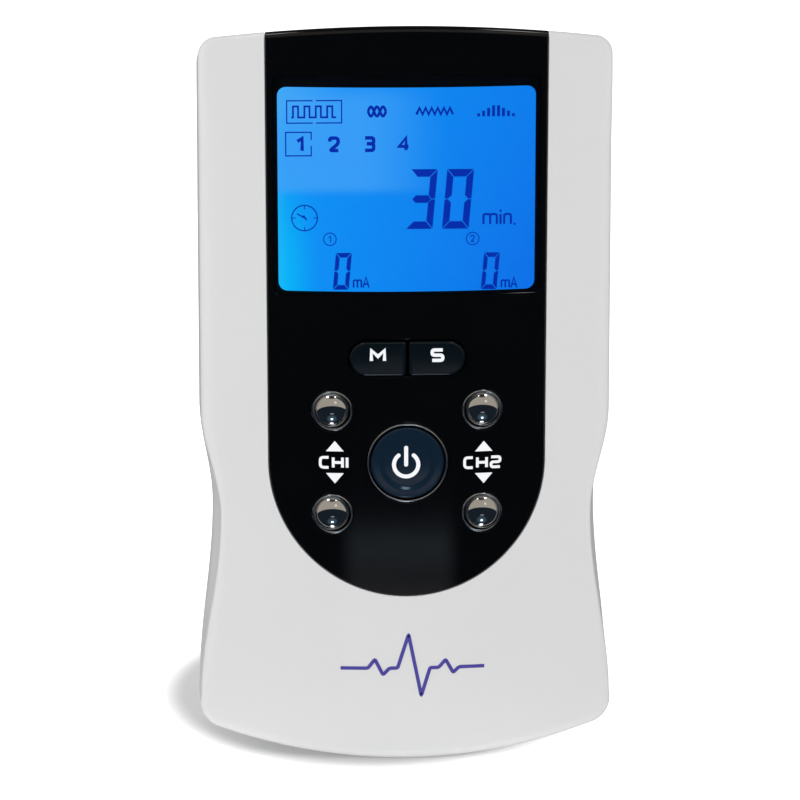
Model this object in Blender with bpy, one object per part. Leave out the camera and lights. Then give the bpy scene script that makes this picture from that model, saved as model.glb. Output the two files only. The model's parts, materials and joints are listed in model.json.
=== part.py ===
"""Handheld two-channel TENS unit, standing upright on its lower end.

+X is to the unit's right as its front is looked at, the front faces -Y and +Z runs up its length.
The origin is the middle of the flat foot at the lower end. Sizes below are in millimetres.
"""

import math

import bmesh
import bpy
from mathutils import Vector

MM = 0.001
GAP = 0.3
WELD_DISTANCE = 0.00005

# Housing outline
HEIGHT = 127.3
HALF_WIDTH = 35.43
UPPER_TAPER = 0.0052
LOWER_FLARE = 0.0124
FOOT_RADIUS = 120.0
TOP_RADIUS = 428.0
FOOT_CORNER = 4.5
TOP_CORNER = 3.2
CORNER_STEPS = 4
FOOT_HALF = 9.0
END_PLACES = (0.0, 8.0, 16.0, 24.0)
GRIP_Z = 42.4
GRIP_DEPTH = 2.31
GRIP_REACH_UP = 18.5
GRIP_REACH_DOWN = 33.0

# Housing depth
FRONT_DEPTH = 13.5
BACK_DEPTH = 13.5
UPPER_BACK = 7.3
STEP_LOW = 68.0
STEP_HIGH = 74.0
CROWN = 2.4 / 23.45**2
PARTING = 3.0
WALL = 2.0
SIDE_DRAFT = 0.4
EDGE_RADIUS = 4.0
CORNER_EDGE_RADIUS = 2.4
TOP_EDGE_RADIUS = 1.6
LEAST_RADIUS = 0.5
EDGE_LOW = 8.5
EDGE_HIGH = 120.0
EDGE_FADE = 14.0
BACK_RADIUS = 2.6
TOP_RAKE = math.tan(math.radians(12.5))
RAKE_START = 95.0
RAKE_FULL = 116.0
GRIP_ROWS = (12.0, 20.0, 27.0, 33.0, 38.0, GRIP_Z, 47.0, 52.0, 57.0, GRIP_Z + GRIP_REACH_UP)
FRONT_ROWS = GRIP_ROWS + (RAKE_START, RAKE_FULL)
BACK_ROWS = GRIP_ROWS + (STEP_LOW, STEP_HIGH, RAKE_START, RAKE_FULL)

# Front panel and display
PANEL_HALF = 23.45
PANEL_CENTRE_Z = 53.0
PANEL_BACK = -7.5
LENS_HALF = 22.25
LENS_Z = (82.0, 118.8)
LENS_SINK = 0.2
LENS_THICK = 1.1
LENS_LEDGE = 0.7
LENS_SLACK = 0.25

# Keys
TRAVEL = 0.6
STEM_END = -9.2
STEM_RADIUS = 1.5
KEY_FRONT = -14.1
KEY_BEVEL = (0.35, 0.3)
KEY_FLANGE = 0.9
KEY_FLANGE_Y = (-10.75, -10.0)
KEY_Z = 71.175
KEY_HALF_HEIGHT = 2.875
KEY_OUTER = 9.7
KEY_INNER = 0.25
KEY_SWITCH_X = 4.9
POWER_RADIUS = 6.2
POWER_FRONT = -14.0
POWER_BEVEL = (0.6, 0.3)
POWER_FLANGE = 7.8
POWER_FLANGE_Y = (-11.15, -10.4)
POWER_RING_Y = (-13.85, -13.6, -11.9)
POWER_RING = (6.5, 6.95)
POWER_HOLE = 7.25
DOME_RADIUS = 2.85
DOME_RIM_Y = -12.55
DOME_RISE = 1.75
DOME_FLANGE = 4.4
DOME_FLANGE_Y = -9.75
DOME_RING = (3.2, 3.7)
DOME_RING_Y = (-0.35, -0.2, 0.0, 1.5)
DOME_HOLE = 4.0
DOME_X = 12.75
DOME_REACH = 9.0
SPOTS = {
    "mode": (-KEY_SWITCH_X, KEY_Z),
    "set": (KEY_SWITCH_X, KEY_Z),
    "power": (0.0, PANEL_CENTRE_Z),
    "ch1_up": (-DOME_X, PANEL_CENTRE_Z + DOME_REACH),
    "ch1_down": (-DOME_X, PANEL_CENTRE_Z - DOME_REACH),
    "ch2_up": (DOME_X, PANEL_CENTRE_Z + DOME_REACH),
    "ch2_down": (DOME_X, PANEL_CENTRE_Z - DOME_REACH),
}

# Circuit board and display stack
BOARD_FRONT = -6.4
BOARD_BACK = -5.0
BOARD_HALF = 25.8
BOARD_Z = (9.0, 118.5)
SWITCH_HALF = 3.0
SWITCH_THICK = 1.6
SWITCH_WELL = (1.5, 0.25)
PLUNGER = (0.9, 1.2)
LCD_LOW = (-23.0, -8.8, 80.8)
LCD_HIGH = (23.0, -7.8, 119.2)
BACKLIGHT_LOW = (-22.5, -7.5, 83.2)
BACKLIGHT_SIDE = (22.5, 118.8)
CONNECTOR_LOW = (-20.0, -7.5, 81.2)
CONNECTOR_SIDE = (20.0, 82.8)
FRAME_LOW = (-24.4, -8.5, 79.4)
FRAME_SIDE = (24.4, 120.6)
FRAME_WINDOW = ((-23.3, -12.0, 80.5), (23.3, 0.0, 119.5))
CHIP_LOW = (-6.0, 88.0)
CHIP_HIGH = (6.0, 100.0)
CHIP_THICK = 1.6
TRANSFORMER_X = 12.5
TRANSFORMER_Z = 76.0
TRANSFORMER_BACK = 3.2
CAPACITOR_Z = 76.0
BUZZER_Z = 109.5

# Battery bay
CELL_PITCH = 14.0
CELL_RADIUS = 6.9
CELL_LENGTH = 50.5
NUB_LENGTH = 1.0
CELL_Y = 4.4
BAY_Z = (8.0, 64.0)
BAY_HALF = 28.2
BAY_FLOOR = -3.1
BAY_WALL = 1.2
DOOR_HALF = 28.7
DOOR_TOP = 66.0
DOOR_BOTTOM = 0.8
DOOR_INNER = 11.7
TRAY_EDGE = 12.4
LEDGE_Y = (9.6, 12.1)
LEDGE_HALF = 16.0
PLATE_THICK = 0.5
CONTACT_HALF = 4.6
COIL = (3.8, 2.4)
COIL_TURNS = 3
COIL_WIRE = 0.4
CELL_END = 5.6
NUB_RADIUS = 2.75
WIRE_STEPS = 10
WIRE_SIDES = 5
GROOVES = 3
GROOVE_Z = 52.0
GROOVE_PITCH = 3.5
GROOVE_HEIGHT = 1.4
GROOVE_DEPTH = 0.6
GROOVE_HALF = 9.0

# Belt clip
PIN_Y = 10.0
PIN_Z = 108.0
PIN_RADIUS = 0.9
CLIP_HALF = 9.0
CLIP_NECK = 6.6
CLIP_INNER = 11.9
CLIP_TOP = 118.0
CLIP_CURL = 4.2
CLIP_CURL_Z = 80.7
CLIP_TOE_Z = 77.3
CLIP_NOTCH = 4.2
SPRING_WELL = 2.6
SPRING_RADIUS = 1.6
SPRING_TURNS = 3.5
SPRING_HALF = 1.6
SPRING_LEG = 9.5
SPRING_WIRE = 0.3
EAR_RADIUS = 2.6
EAR_THICK = 2.4
PIN_BORE = 1.2
BARREL_RADIUS = 2.4
PIN_HOLE = [(PIN_BORE, -12.0), (PIN_BORE, 12.0)]

# Sockets
JACK_X = 12.0
JACK_Y = -1.0
JACK_BASE = 109.5
JACK_LENGTH = 11.0
DC_BASE = 21.5
DC_LENGTH = 10.8
DC_Y = -0.5
DC_Z = 95.0
SOCKET_HOLE = 2.8
JACK_RADIUS = 3.4
JACK_BORE = 2.6
JACK_FLOOR = 2.0
JACK_PIN = 1.0

SCREW_X = 28.8
SCREW_Z = (79.0, 111.5)
SCREW_HEAD = 2.4
HEAD_WELL = 2.7
BOSS = 2.6
BOSS_BORE = 1.3
REAR_BOSS = 3.2
REAR_BORE = 1.4
BOSS_Y = (-8.6, 2.7)
BOSS_BORE_Y = (-5.0, 4.0)
REAR_BOSS_Y = (3.3, 6.2)
REAR_BORE_Y = (1.0, 6.0)
HEAD_WELL_Y = (5.1, 9.0)
SCREW_TOP = 7.0
SCREW_SEAT = 5.4
SCREW_SHANK = 1.0
SCREW_TIP = -4.2
SLOT = (1.4, 0.35)
SLOT_FLOOR = 6.1

# Tools that reach past every face they trim
BELOW_FOOT = ((-40.0, -20.0, -5.0), (40.0, 20.0, 0.0))
IN_FRONT = -20.0
BEHIND = 20.0


def clear_scene():
    for item in list(bpy.data.objects):
        bpy.data.objects.remove(item)


def material(name, colour, roughness, metallic=0.0):
    """One Principled material; colour is linear RGB."""
    made = bpy.data.materials.new(name)
    made.use_nodes = True
    shader = made.node_tree.nodes["Principled BSDF"]
    shader.inputs["Base Color"].default_value = (*colour, 1.0)
    shader.inputs["Roughness"].default_value = roughness
    shader.inputs["Metallic"].default_value = metallic
    return made


# Meshes


def make_object(name, points, faces, look, origin=(0.0, 0.0, 0.0)):
    """An object at origin whose mesh is given in the unit's own millimetres."""
    grid = bmesh.new()
    base = Vector(origin)
    corners = [grid.verts.new((Vector(point) - base) * MM) for point in points]
    for face in faces:
        grid.faces.new([corners[index] for index in face])
    bmesh.ops.recalc_face_normals(grid, faces=grid.faces)
    mesh = bpy.data.meshes.new(name)
    grid.to_mesh(mesh)
    grid.free()
    mesh.shade_smooth()
    mesh.set_sharp_from_angle(angle=math.radians(32))
    made = bpy.data.objects.new(name, mesh)
    made.location = base * MM
    bpy.context.collection.objects.link(made)
    if look:
        made.data.materials.append(look)
    return made


def bridge(loops, ring=False):
    """Points and faces of loops joined one to the next, capped at both ends or closed as a ring."""
    count = len(loops[0])
    points = [point for loop in loops for point in loop]
    faces = []
    pairs = [(k, k + 1) for k in range(len(loops) - 1)]
    if ring:
        pairs.append((len(loops) - 1, 0))
    for low, high in pairs:
        for i in range(count):
            j = (i + 1) % count
            faces.append((low * count + i, low * count + j, high * count + j, high * count + i))
    if not ring:
        last = (len(loops) - 1) * count
        faces.append(tuple(range(count)))
        faces.append(tuple(range(last, last + count)))
    return points, faces


def turned(name, centre, axis, profile, count, look=None, ring=False):
    """A turned piece: profile is (radius, place along the axis) measured from the centre."""
    loops = []
    for radius, along in profile:
        loop = []
        for k in range(count):
            angle = 2 * math.pi * (k + 0.5) / count
            u = radius * math.cos(angle)
            v = radius * math.sin(angle)
            offset = {"X": (along, u, v), "Y": (u, along, v), "Z": (u, v, along)}[axis]
            loop.append(tuple(c + o for c, o in zip(centre, offset)))
        loops.append(loop)
    return make_object(name, *bridge(loops, ring), look, centre)


def block(name, low, high, look=None):
    """A box between two corners."""
    loops = [
        [(low[0], low[1], z), (high[0], low[1], z), (high[0], high[1], z), (low[0], high[1], z)]
        for z in (low[2], high[2])
    ]
    centre = tuple((a + b) / 2 for a, b in zip(low, high))
    return make_object(name, *bridge(loops), look, centre)


def extrusion(name, outline, axis, start, end, look=None, origin=(0.0, 0.0, 0.0)):
    """An outline of (u, v) pairs pulled along X, Y or Z from start to end."""
    loops = []
    for along in (start, end):
        place = {
            "X": [(along, u, v) for u, v in outline],
            "Y": [(u, along, v) for u, v in outline],
            "Z": [(u, v, along) for u, v in outline],
        }
        loops.append(place[axis])
    return make_object(name, *bridge(loops), look, origin)


def wire(name, path, radius, look=None, origin=(0.0, 0.0, 0.0)):
    """A round wire along a path of points."""
    nodes = [Vector(point) for point in path]
    first = (nodes[1] - nodes[0]).normalized()
    across = first.orthogonal().normalized()
    loops = []
    for k, node in enumerate(nodes):
        ahead = nodes[min(k + 1, len(nodes) - 1)]
        behind = nodes[max(k - 1, 0)]
        along = (ahead - behind).normalized()
        across = (across - along * across.dot(along)).normalized()
        other = along.cross(across)
        turn = [2 * math.pi * s / WIRE_SIDES for s in range(WIRE_SIDES)]
        loops.append([node + radius * (across * math.cos(a) + other * math.sin(a)) for a in turn])
    return make_object(name, *bridge(loops), look, origin)


def combine(body, tool, operation):
    """A Boolean between a body and a hidden tool."""
    tool.hide_render = True
    tool.display_type = "WIRE"
    modifier = body.modifiers.new(tool.name, "BOOLEAN")
    modifier.operation = operation
    modifier.solver = "EXACT"
    modifier.object = tool


def weld(body):
    """Closes the hairline edges that cuts leave where they pass close to a corner."""
    modifier = body.modifiers.new("weld", "WELD")
    modifier.merge_threshold = WELD_DISTANCE


def cut(body, tool):
    combine(body, tool, "DIFFERENCE")


def join(body, tool):
    combine(body, tool, "UNION")


# Housing surfaces


def crown(x):
    """Y of the crowned front at x."""
    return -FRONT_DEPTH + CROWN * x * x


def back_surface(z):
    """Y of the back: full depth over the battery bay, then a step in for the belt clip."""
    share = min(max((z - STEP_LOW) / (STEP_HIGH - STEP_LOW), 0.0), 1.0)
    return BACK_DEPTH + (UPPER_BACK - BACK_DEPTH) * share


def dent(z):
    """Depth of the finger grip in each side at height z."""
    reach = GRIP_REACH_UP if z > GRIP_Z else GRIP_REACH_DOWN
    share = abs(z - GRIP_Z) / reach
    return GRIP_DEPTH * 0.5 * (1 + math.cos(math.pi * min(share, 1.0)))


def half_width(z):
    """Half the housing's width at height z."""
    knee = GRIP_Z + GRIP_REACH_UP
    slope = UPPER_TAPER if z > knee else LOWER_FLARE
    return HALF_WIDTH - slope * (z - knee) - dent(z)


def end_arc(x, radius):
    """How far a bulged end of that radius falls back at x."""
    return radius - math.sqrt(radius**2 - x * x)


def corner(z_end, sign, radius, small):
    """Centre of the corner circle that touches the side and the bulged end, and its end angle."""
    x = half_width(z_end) - small
    fall = radius - math.sqrt((radius - small) ** 2 - x * x)
    angle = math.acos(x / (radius - small))
    return x, z_end + sign * fall, angle


def outline(rows):
    """Right half of the housing's outline as (x, z, normal x, normal z), foot to top."""
    foot = -end_arc(FOOT_HALF, FOOT_RADIUS)
    places = []
    for x in END_PLACES:
        places.append((x, foot + end_arc(x, FOOT_RADIUS), x / FOOT_RADIUS, -1.0))
    low_x, low_z, swing = corner(foot, 1, FOOT_RADIUS, FOOT_CORNER)
    for k in range(CORNER_STEPS + 1):
        angle = -swing * (1 - k / CORNER_STEPS)
        c, s = math.cos(angle), math.sin(angle)
        places.append((low_x + FOOT_CORNER * c, low_z + FOOT_CORNER * s, c, s))
    for z in rows:
        slope = (half_width(z + 0.2) - half_width(z - 0.2)) / 0.4
        places.append((half_width(z), z, 1.0, -slope))
    top_x, top_z, swing = corner(HEIGHT, -1, TOP_RADIUS, TOP_CORNER)
    for k in range(CORNER_STEPS + 1):
        angle = swing * k / CORNER_STEPS
        c, s = math.cos(angle), math.sin(angle)
        places.append((top_x + TOP_CORNER * c, top_z + TOP_CORNER * s, c, s))
    for x in reversed(END_PLACES):
        places.append((x, HEIGHT - end_arc(x, TOP_RADIUS), x / TOP_RADIUS, 1.0))
    return places


def edge_radius(z, nz):
    """Rounding of the front edge: full along the sides, tighter at the corners and the upper end."""
    near = 1 - min(z - EDGE_LOW, EDGE_HIGH - z) / EDGE_FADE
    near = min(max(near, 0.0), 1.0)
    side = EDGE_RADIUS - (EDGE_RADIUS - CORNER_EDGE_RADIUS) * near * near * (3 - 2 * near)
    return side - (side - TOP_EDGE_RADIUS) * max(nz, 0.0)


def front_rib(place, wall, steps):
    """Points from the parting line forward and over the front edge's rounding."""
    x, z, nx, nz = place
    squeeze = dent(z) * abs(nx)
    inset = wall + SIDE_DRAFT * abs(nx) + 0.5 * squeeze
    outer = edge_radius(z, nz) * (1 - 0.6 * squeeze / GRIP_DEPTH)
    radius = max(outer - wall, LEAST_RADIUS)
    lean = math.atan(2 * CROWN * abs(x)) * abs(nx)
    sweep = math.pi / 2 - lean
    edge_x = x - nx * (inset + radius * (1 - math.cos(sweep)))
    edge_y = crown(edge_x) + wall
    points = [(x - nx * wall, PARTING - GAP / 2, z - nz * wall)]
    for k in range(steps + 1):
        angle = sweep * k / steps
        step = inset + radius * (1 - math.cos(angle))
        y = edge_y + radius * (math.sin(sweep) - math.sin(angle))
        points.append((x - nx * step, y, z - nz * step))
    return points


def back_rib(place, wall, steps):
    """Points from the parting line back and over the rear edge's rounding."""
    x, z, nx, nz = place
    inset = wall + SIDE_DRAFT * abs(nx)
    radius = max(BACK_RADIUS - wall, LEAST_RADIUS)
    floor = back_surface(z) - wall
    points = [(x - nx * wall, PARTING + GAP / 2, z - nz * wall)]
    for k in range(steps + 1):
        angle = math.pi / 2 * k / steps
        step = inset + radius * (1 - math.cos(angle))
        points.append((x - nx * step, floor - radius + radius * math.sin(angle), z - nz * step))
    return points


def rake(point):
    """The upper end leans back: points near it drop the further back they are."""
    x, y, z = point
    share = min(max((z - RAKE_START) / (RAKE_FULL - RAKE_START), 0.0), 1.0)
    return x, y, z - TOP_RAKE * (y + FRONT_DEPTH) * share


def skin(points, faces, rib, wall, steps, columns):
    """Adds one surface of a housing half and gives the indices of its open rim."""
    rows = FRONT_ROWS if rib is front_rib else BACK_ROWS
    right = [rib(place, wall, steps) for place in outline(rows)]
    left = [[(-x, y, z) for x, y, z in ribbed] for ribbed in right[-2:0:-1]]
    ribs = right + left
    first = len(points)
    depth = len(ribs[0])
    for ribbed in ribs:
        points.extend(ribbed)
    index = [[first + i * depth + k for k in range(depth)] for i in range(len(ribs))]
    for i in range(len(ribs)):
        here, there = index[i], index[(i + 1) % len(ribs)]
        for k in range(depth - 1):
            faces.append((here[k], there[k], there[k + 1], here[k + 1]))
    half = len(right) - 1
    rows = []
    for i in range(1, half):
        low, high = index[-i][-1], index[i][-1]
        row = [low]
        for c in range(1, columns):
            x = points[low][0] + (points[high][0] - points[low][0]) * c / columns
            points.append((x, crown(x) + wall, points[low][2]))
            row.append(len(points) - 1)
        rows.append(row + [high])
    for lower, upper in zip(rows, rows[1:]):
        for c in range(columns):
            faces.append((lower[c], lower[c + 1], upper[c + 1], upper[c]))
    for c in range(columns):
        faces.append((index[0][-1], rows[0][c + 1], rows[0][c]))
        faces.append((index[half][-1], rows[-1][c], rows[-1][c + 1]))
    return [ribbed[0] for ribbed in index]


def half_shell(name, rib, columns, look):
    """A hollow housing half: outer skin, inner skin and the rim between them."""
    points, faces = [], []
    outer = skin(points, faces, rib, 0.0, 4, columns)
    inner = skin(points, faces, rib, WALL, 2, columns)
    for i in range(len(outer)):
        j = (i + 1) % len(outer)
        faces.append((outer[i], outer[j], inner[j], inner[i]))
    return make_object(name, [rake(point) for point in points], faces, look)


def filled_half(name, rib, columns, look):
    """A housing half without its hollow."""
    points, faces = [], []
    rim = skin(points, faces, rib, 0.0, 4, columns)
    faces.append(tuple(rim))
    return make_object(name, [rake(point) for point in points], faces, look)


def arc(cx, cy, radius, start, end, steps):
    """Points on a circular arc, angles in degrees."""
    turn = [math.radians(start + (end - start) * k / steps) for k in range(steps + 1)]
    return [(cx + radius * math.cos(a), cy + radius * math.sin(a)) for a in turn]


def rod(radius, span):
    """Profile of a plain cylinder between two places along its axis."""
    return [(radius, span[0]), (radius, span[1])]


# Housing pieces


def panel_outline(extra):
    """Straight-sided tongue with a half-round lower end, open to the top."""
    half = PANEL_HALF + extra
    lower = arc(0.0, PANEL_CENTRE_Z, half, 180.0, 360.0, 25)
    return lower + [(half, HEIGHT + 10), (-half, HEIGHT + 10)]


def crowned_slab(name, half, rows, front, back, look=None):
    """A slab that follows the front's crown between two depths below it."""
    columns = [half * (2 * k / 10 - 1) for k in range(11)]
    section = [(x, crown(x) + front) for x in columns]
    section += [(x, crown(x) + back) for x in reversed(columns)]
    return extrusion(name, section, "Z", rows[0], rows[1], look)


def front_shell(looks):
    shell = half_shell("front_shell", front_rib, 9, looks["shell"])
    for side in (-1, 1):
        for z in SCREW_Z:
            tag = f"{side}_{z:.0f}"
            place = (side * SCREW_X, 0.0, z)
            join(shell, turned("boss" + tag, place, "Y", rod(BOSS, BOSS_Y), 12))
            cut(shell, turned("bore" + tag, place, "Y", rod(BOSS_BORE, BOSS_BORE_Y), 10))
    cut(shell, extrusion("panel_seat", panel_outline(GAP), "Y", IN_FRONT, PANEL_BACK + GAP))
    cut(shell, block("front_foot", *BELOW_FOOT))
    bore = rod(SOCKET_HOLE, (JACK_LENGTH - 5.5, JACK_LENGTH + 8.5))
    for side in (-1, 1):
        cut(shell, turned(f"socket{side}", (side * JACK_X, JACK_Y, JACK_BASE), "Z", bore, 16))
    bore = rod(SOCKET_HOLE, (DC_LENGTH - 1.3, DC_LENGTH + 5.7))
    cut(shell, turned("dc_hole", (DC_BASE, DC_Y, DC_Z), "X", bore, 16))
    weld(shell)


def key_outline(grow):
    """Right-hand key: flat inner end, half-round outer end."""
    radius = KEY_HALF_HEIGHT + grow
    bend = arc(KEY_OUTER - KEY_HALF_HEIGHT, KEY_Z, radius, -90, 90, 8)
    return [(KEY_INNER, KEY_Z - radius)] + bend + [(KEY_INNER, KEY_Z + radius)]


def mirrored(outline_points, side):
    return [(side * x, z) for x, z in outline_points]


def front_panel(looks):
    panel = half_shell("front_panel", front_rib, 9, looks["panel"])
    combine(panel, extrusion("panel_shape", panel_outline(0.0), "Y", IN_FRONT, PANEL_BACK), "INTERSECT")
    seat_z = (LENS_Z[0] - LENS_SLACK, LENS_Z[1] + LENS_SLACK)
    window_z = (LENS_Z[0] + LENS_LEDGE, LENS_Z[1] - LENS_LEDGE)
    floor = LENS_SINK + LENS_THICK + GAP / 2
    cut(panel, crowned_slab("lens_seat", LENS_HALF + GAP, seat_z, -3.0, floor))
    cut(panel, crowned_slab("window", LENS_HALF - LENS_LEDGE, window_z, -3.0, WALL + 1.0))
    pill = arc(KEY_OUTER - KEY_HALF_HEIGHT, KEY_Z, KEY_HALF_HEIGHT + GAP, -90, 90, 8)
    pill += [(-x, z) for x, z in reversed(pill)]
    cut(panel, extrusion("key_slot", pill, "Y", IN_FRONT, PARTING))
    for name, (x, z) in SPOTS.items():
        if name == "power":
            bore = rod(POWER_HOLE, (IN_FRONT, PARTING))
            cut(panel, turned("hole_power", (x, 0.0, z), "Y", bore, 28))
        elif name.startswith("ch"):
            bore = rod(DOME_HOLE, (IN_FRONT, PARTING))
            cut(panel, turned("hole_" + name, (x, 0.0, z), "Y", bore, 20))
    weld(panel)


def display_lens(looks):
    crowned_slab(
        "display_lens", LENS_HALF, LENS_Z, LENS_SINK, LENS_SINK + LENS_THICK, looks["lens"]
    )


def battery_tray(shell):
    """Bay walls and floor, joined to the back of the housing."""
    low, high = BAY_Z
    deep = BAY_FLOOR - BAY_WALL
    for side in (-1, 1):
        edges = sorted((side * BAY_HALF, side * (BAY_HALF + 2.0)))
        first = (edges[0], deep, low - 1.4)
        join(shell, block(f"bay_side{side}", first, (edges[1], TRAY_EDGE, high + 1.4)))
    half = BAY_HALF + 0.6
    join(shell, block("bay_floor", (-half, deep, low - 1.0), (half, BAY_FLOOR, high + 1.0)))
    join(shell, block("bay_low_end", (-half, deep + 0.2, low - 1.6), (half, TRAY_EDGE - 0.2, low)))
    join(shell, block("bay_high_end", (-half, deep + 0.2, high), (half, TRAY_EDGE - 0.2, high + 1.6)))
    inner, outer = LEDGE_Y
    join(shell, block("low_ledge", (-LEDGE_HALF, inner, 1.0), (LEDGE_HALF, outer, low - 0.5)))
    join(shell, block("high_ledge", (-half, inner, high + 1.2), (half, outer, high + 4.0)))


def ear_outline():
    """Hinge ear: a round nose about the pin on a square foot."""
    nose = arc(PIN_Y, PIN_Z, EAR_RADIUS, -90, 90, 8)
    return [(UPPER_BACK - 1.0, PIN_Z - EAR_RADIUS)] + nose + [(UPPER_BACK - 1.0, PIN_Z + EAR_RADIUS)]


def rear_shell(looks):
    shell = half_shell("rear_shell", back_rib, 1, looks["shell"])
    battery_tray(shell)
    for side in (-1, 1):
        edges = sorted((side * (CLIP_NECK + GAP), side * (CLIP_NECK + GAP + EAR_THICK)))
        join(shell, extrusion(f"ear{side}", ear_outline(), "X", edges[0], edges[1]))
        for z in SCREW_Z:
            tag = f"{side}_{z:.0f}"
            place = (side * SCREW_X, 0.0, z)
            join(shell, turned("rear_boss" + tag, place, "Y", rod(REAR_BOSS, REAR_BOSS_Y), 12))
            cut(shell, turned("head_well" + tag, place, "Y", rod(HEAD_WELL, HEAD_WELL_Y), 16))
            cut(shell, turned("rear_bore" + tag, place, "Y", rod(REAR_BORE, REAR_BORE_Y), 10))
    cut(shell, turned("ear_bore", (0, PIN_Y, PIN_Z), "X", PIN_HOLE, 12))
    first = (-DOOR_HALF - GAP, DOOR_INNER - GAP, BELOW_FOOT[0][2])
    cut(shell, block("door_seat", first, (DOOR_HALF + GAP, BEHIND, DOOR_TOP + GAP)))
    cut(shell, block("rear_foot", *BELOW_FOOT))
    weld(shell)


def battery_door(looks):
    """Slide-off door, flush with the back, with three thumb grooves."""
    door = filled_half("battery_door", back_rib, 1, looks["door"])
    corner_low = (-DOOR_HALF, DOOR_INNER, DOOR_BOTTOM)
    combine(door, block("door_shape", corner_low, (DOOR_HALF, BEHIND, DOOR_TOP)), "INTERSECT")
    for k in range(GROOVES):
        z = GROOVE_Z + GROOVE_PITCH * k
        first = (-GROOVE_HALF, BACK_DEPTH - GROOVE_DEPTH, z)
        cut(door, block(f"groove{k}", first, (GROOVE_HALF, BACK_DEPTH + 2, z + GROOVE_HEIGHT)))


# Keys, rings and switches


def rocker_key(name, side, look):
    """Mode or set key: a half pill with a flange behind the panel and a stem to its switch."""
    inset, fall = KEY_BEVEL
    body = mirrored(key_outline(0.0), side)
    top = mirrored(key_outline(-inset), side)
    top[0] = (side * (KEY_INNER + inset), top[0][1])
    top[-1] = (side * (KEY_INNER + inset), top[-1][1])
    flange = mirrored(key_outline(KEY_FLANGE), side)
    centre = side * KEY_SWITCH_X
    stem = []
    for u, v in body:
        away = Vector((u - centre, v - KEY_Z)).normalized() * STEM_RADIUS
        stem.append((centre + away.x, KEY_Z + away.y))
    near, far = KEY_FLANGE_Y
    layers = [
        (top, KEY_FRONT), (body, KEY_FRONT + fall), (body, near), (flange, near),
        (flange, far), (stem, far), (stem, STEM_END),
    ]
    loops = [[(u, y, v) for u, v in shape] for shape, y in layers]
    make_object(name, *bridge(loops), look, (centre, 0.0, KEY_Z))


def dome_profile():
    """Domed cap, skirt and flange of a channel button, front to back."""
    rise = arc(0.0, 0.0, 1.0, 90, 0, 5)
    cap = [(max(DOME_RADIUS * u, 0.25), DOME_RIM_Y - DOME_RISE * v) for u, v in rise]
    skirt = [(DOME_RADIUS, DOME_FLANGE_Y), (DOME_FLANGE, DOME_FLANGE_Y), (DOME_FLANGE, STEM_END)]
    return cap + skirt


def keys(looks):
    rocker_key("button_mode", -1, looks["key"])
    rocker_key("button_set", 1, looks["key"])
    inset, fall = POWER_BEVEL
    near, far = POWER_FLANGE_Y
    disc = [(POWER_RADIUS - inset, POWER_FRONT), (POWER_RADIUS, POWER_FRONT + fall)]
    disc += [(POWER_RADIUS, near), (POWER_FLANGE, near), (POWER_FLANGE, far)]
    disc += [(STEM_RADIUS, far), (STEM_RADIUS, STEM_END)]
    x, z = SPOTS["power"]
    turned("button_power", (x, 0.0, z), "Y", disc, 28, looks["key"])
    low, high = POWER_RING
    peak, rim, base = POWER_RING_Y
    ring = [(low, rim), (low + 0.2, peak), (high, rim), (high, base), (low, base)]
    turned("ring_power", (0.0, 0.0, PANEL_CENTRE_Z), "Y", ring, 28, looks["chrome"], ring=True)
    low, high = DOME_RING
    peak, inner, outer, base = DOME_RING_Y
    ring = [(low, inner), (low + 0.25, peak), (high, outer), (high, base), (low, base)]
    for name, (x, z) in SPOTS.items():
        if not name.startswith("ch"):
            continue
        turned("button_" + name, (x, 0.0, z), "Y", dome_profile(), 18, looks["chrome"])
        rim = turned("ring_" + name, (x, crown(x), z), "Y", ring, 18, looks["chrome"], ring=True)
        rim.rotation_euler.z = math.atan(2 * CROWN * x)


def switches(looks):
    """One tact switch behind each button; its plunger moves with the button."""
    back = BOARD_FRONT - GAP
    front = back - SWITCH_THICK
    half = SWITCH_HALF
    bore, web = SWITCH_WELL
    floor = back - web
    tip, shank = PLUNGER
    start = STEM_END + GAP
    pin = [(tip, start), (shank, start + shank - tip), (shank, floor - TRAVEL - 0.1)]
    for name, (x, z) in SPOTS.items():
        first = (x - half, front, z - half)
        body = block("switch_" + name, first, (x + half, back, z + half), looks["switch"])
        cut(body, turned("well_" + name, (x, 0, z), "Y", rod(bore, (front - 1, floor)), 12))
        turned("plunger_" + name, (x, 0, z), "Y", pin, 10, looks["plunger"])


# Display and electronics


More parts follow.
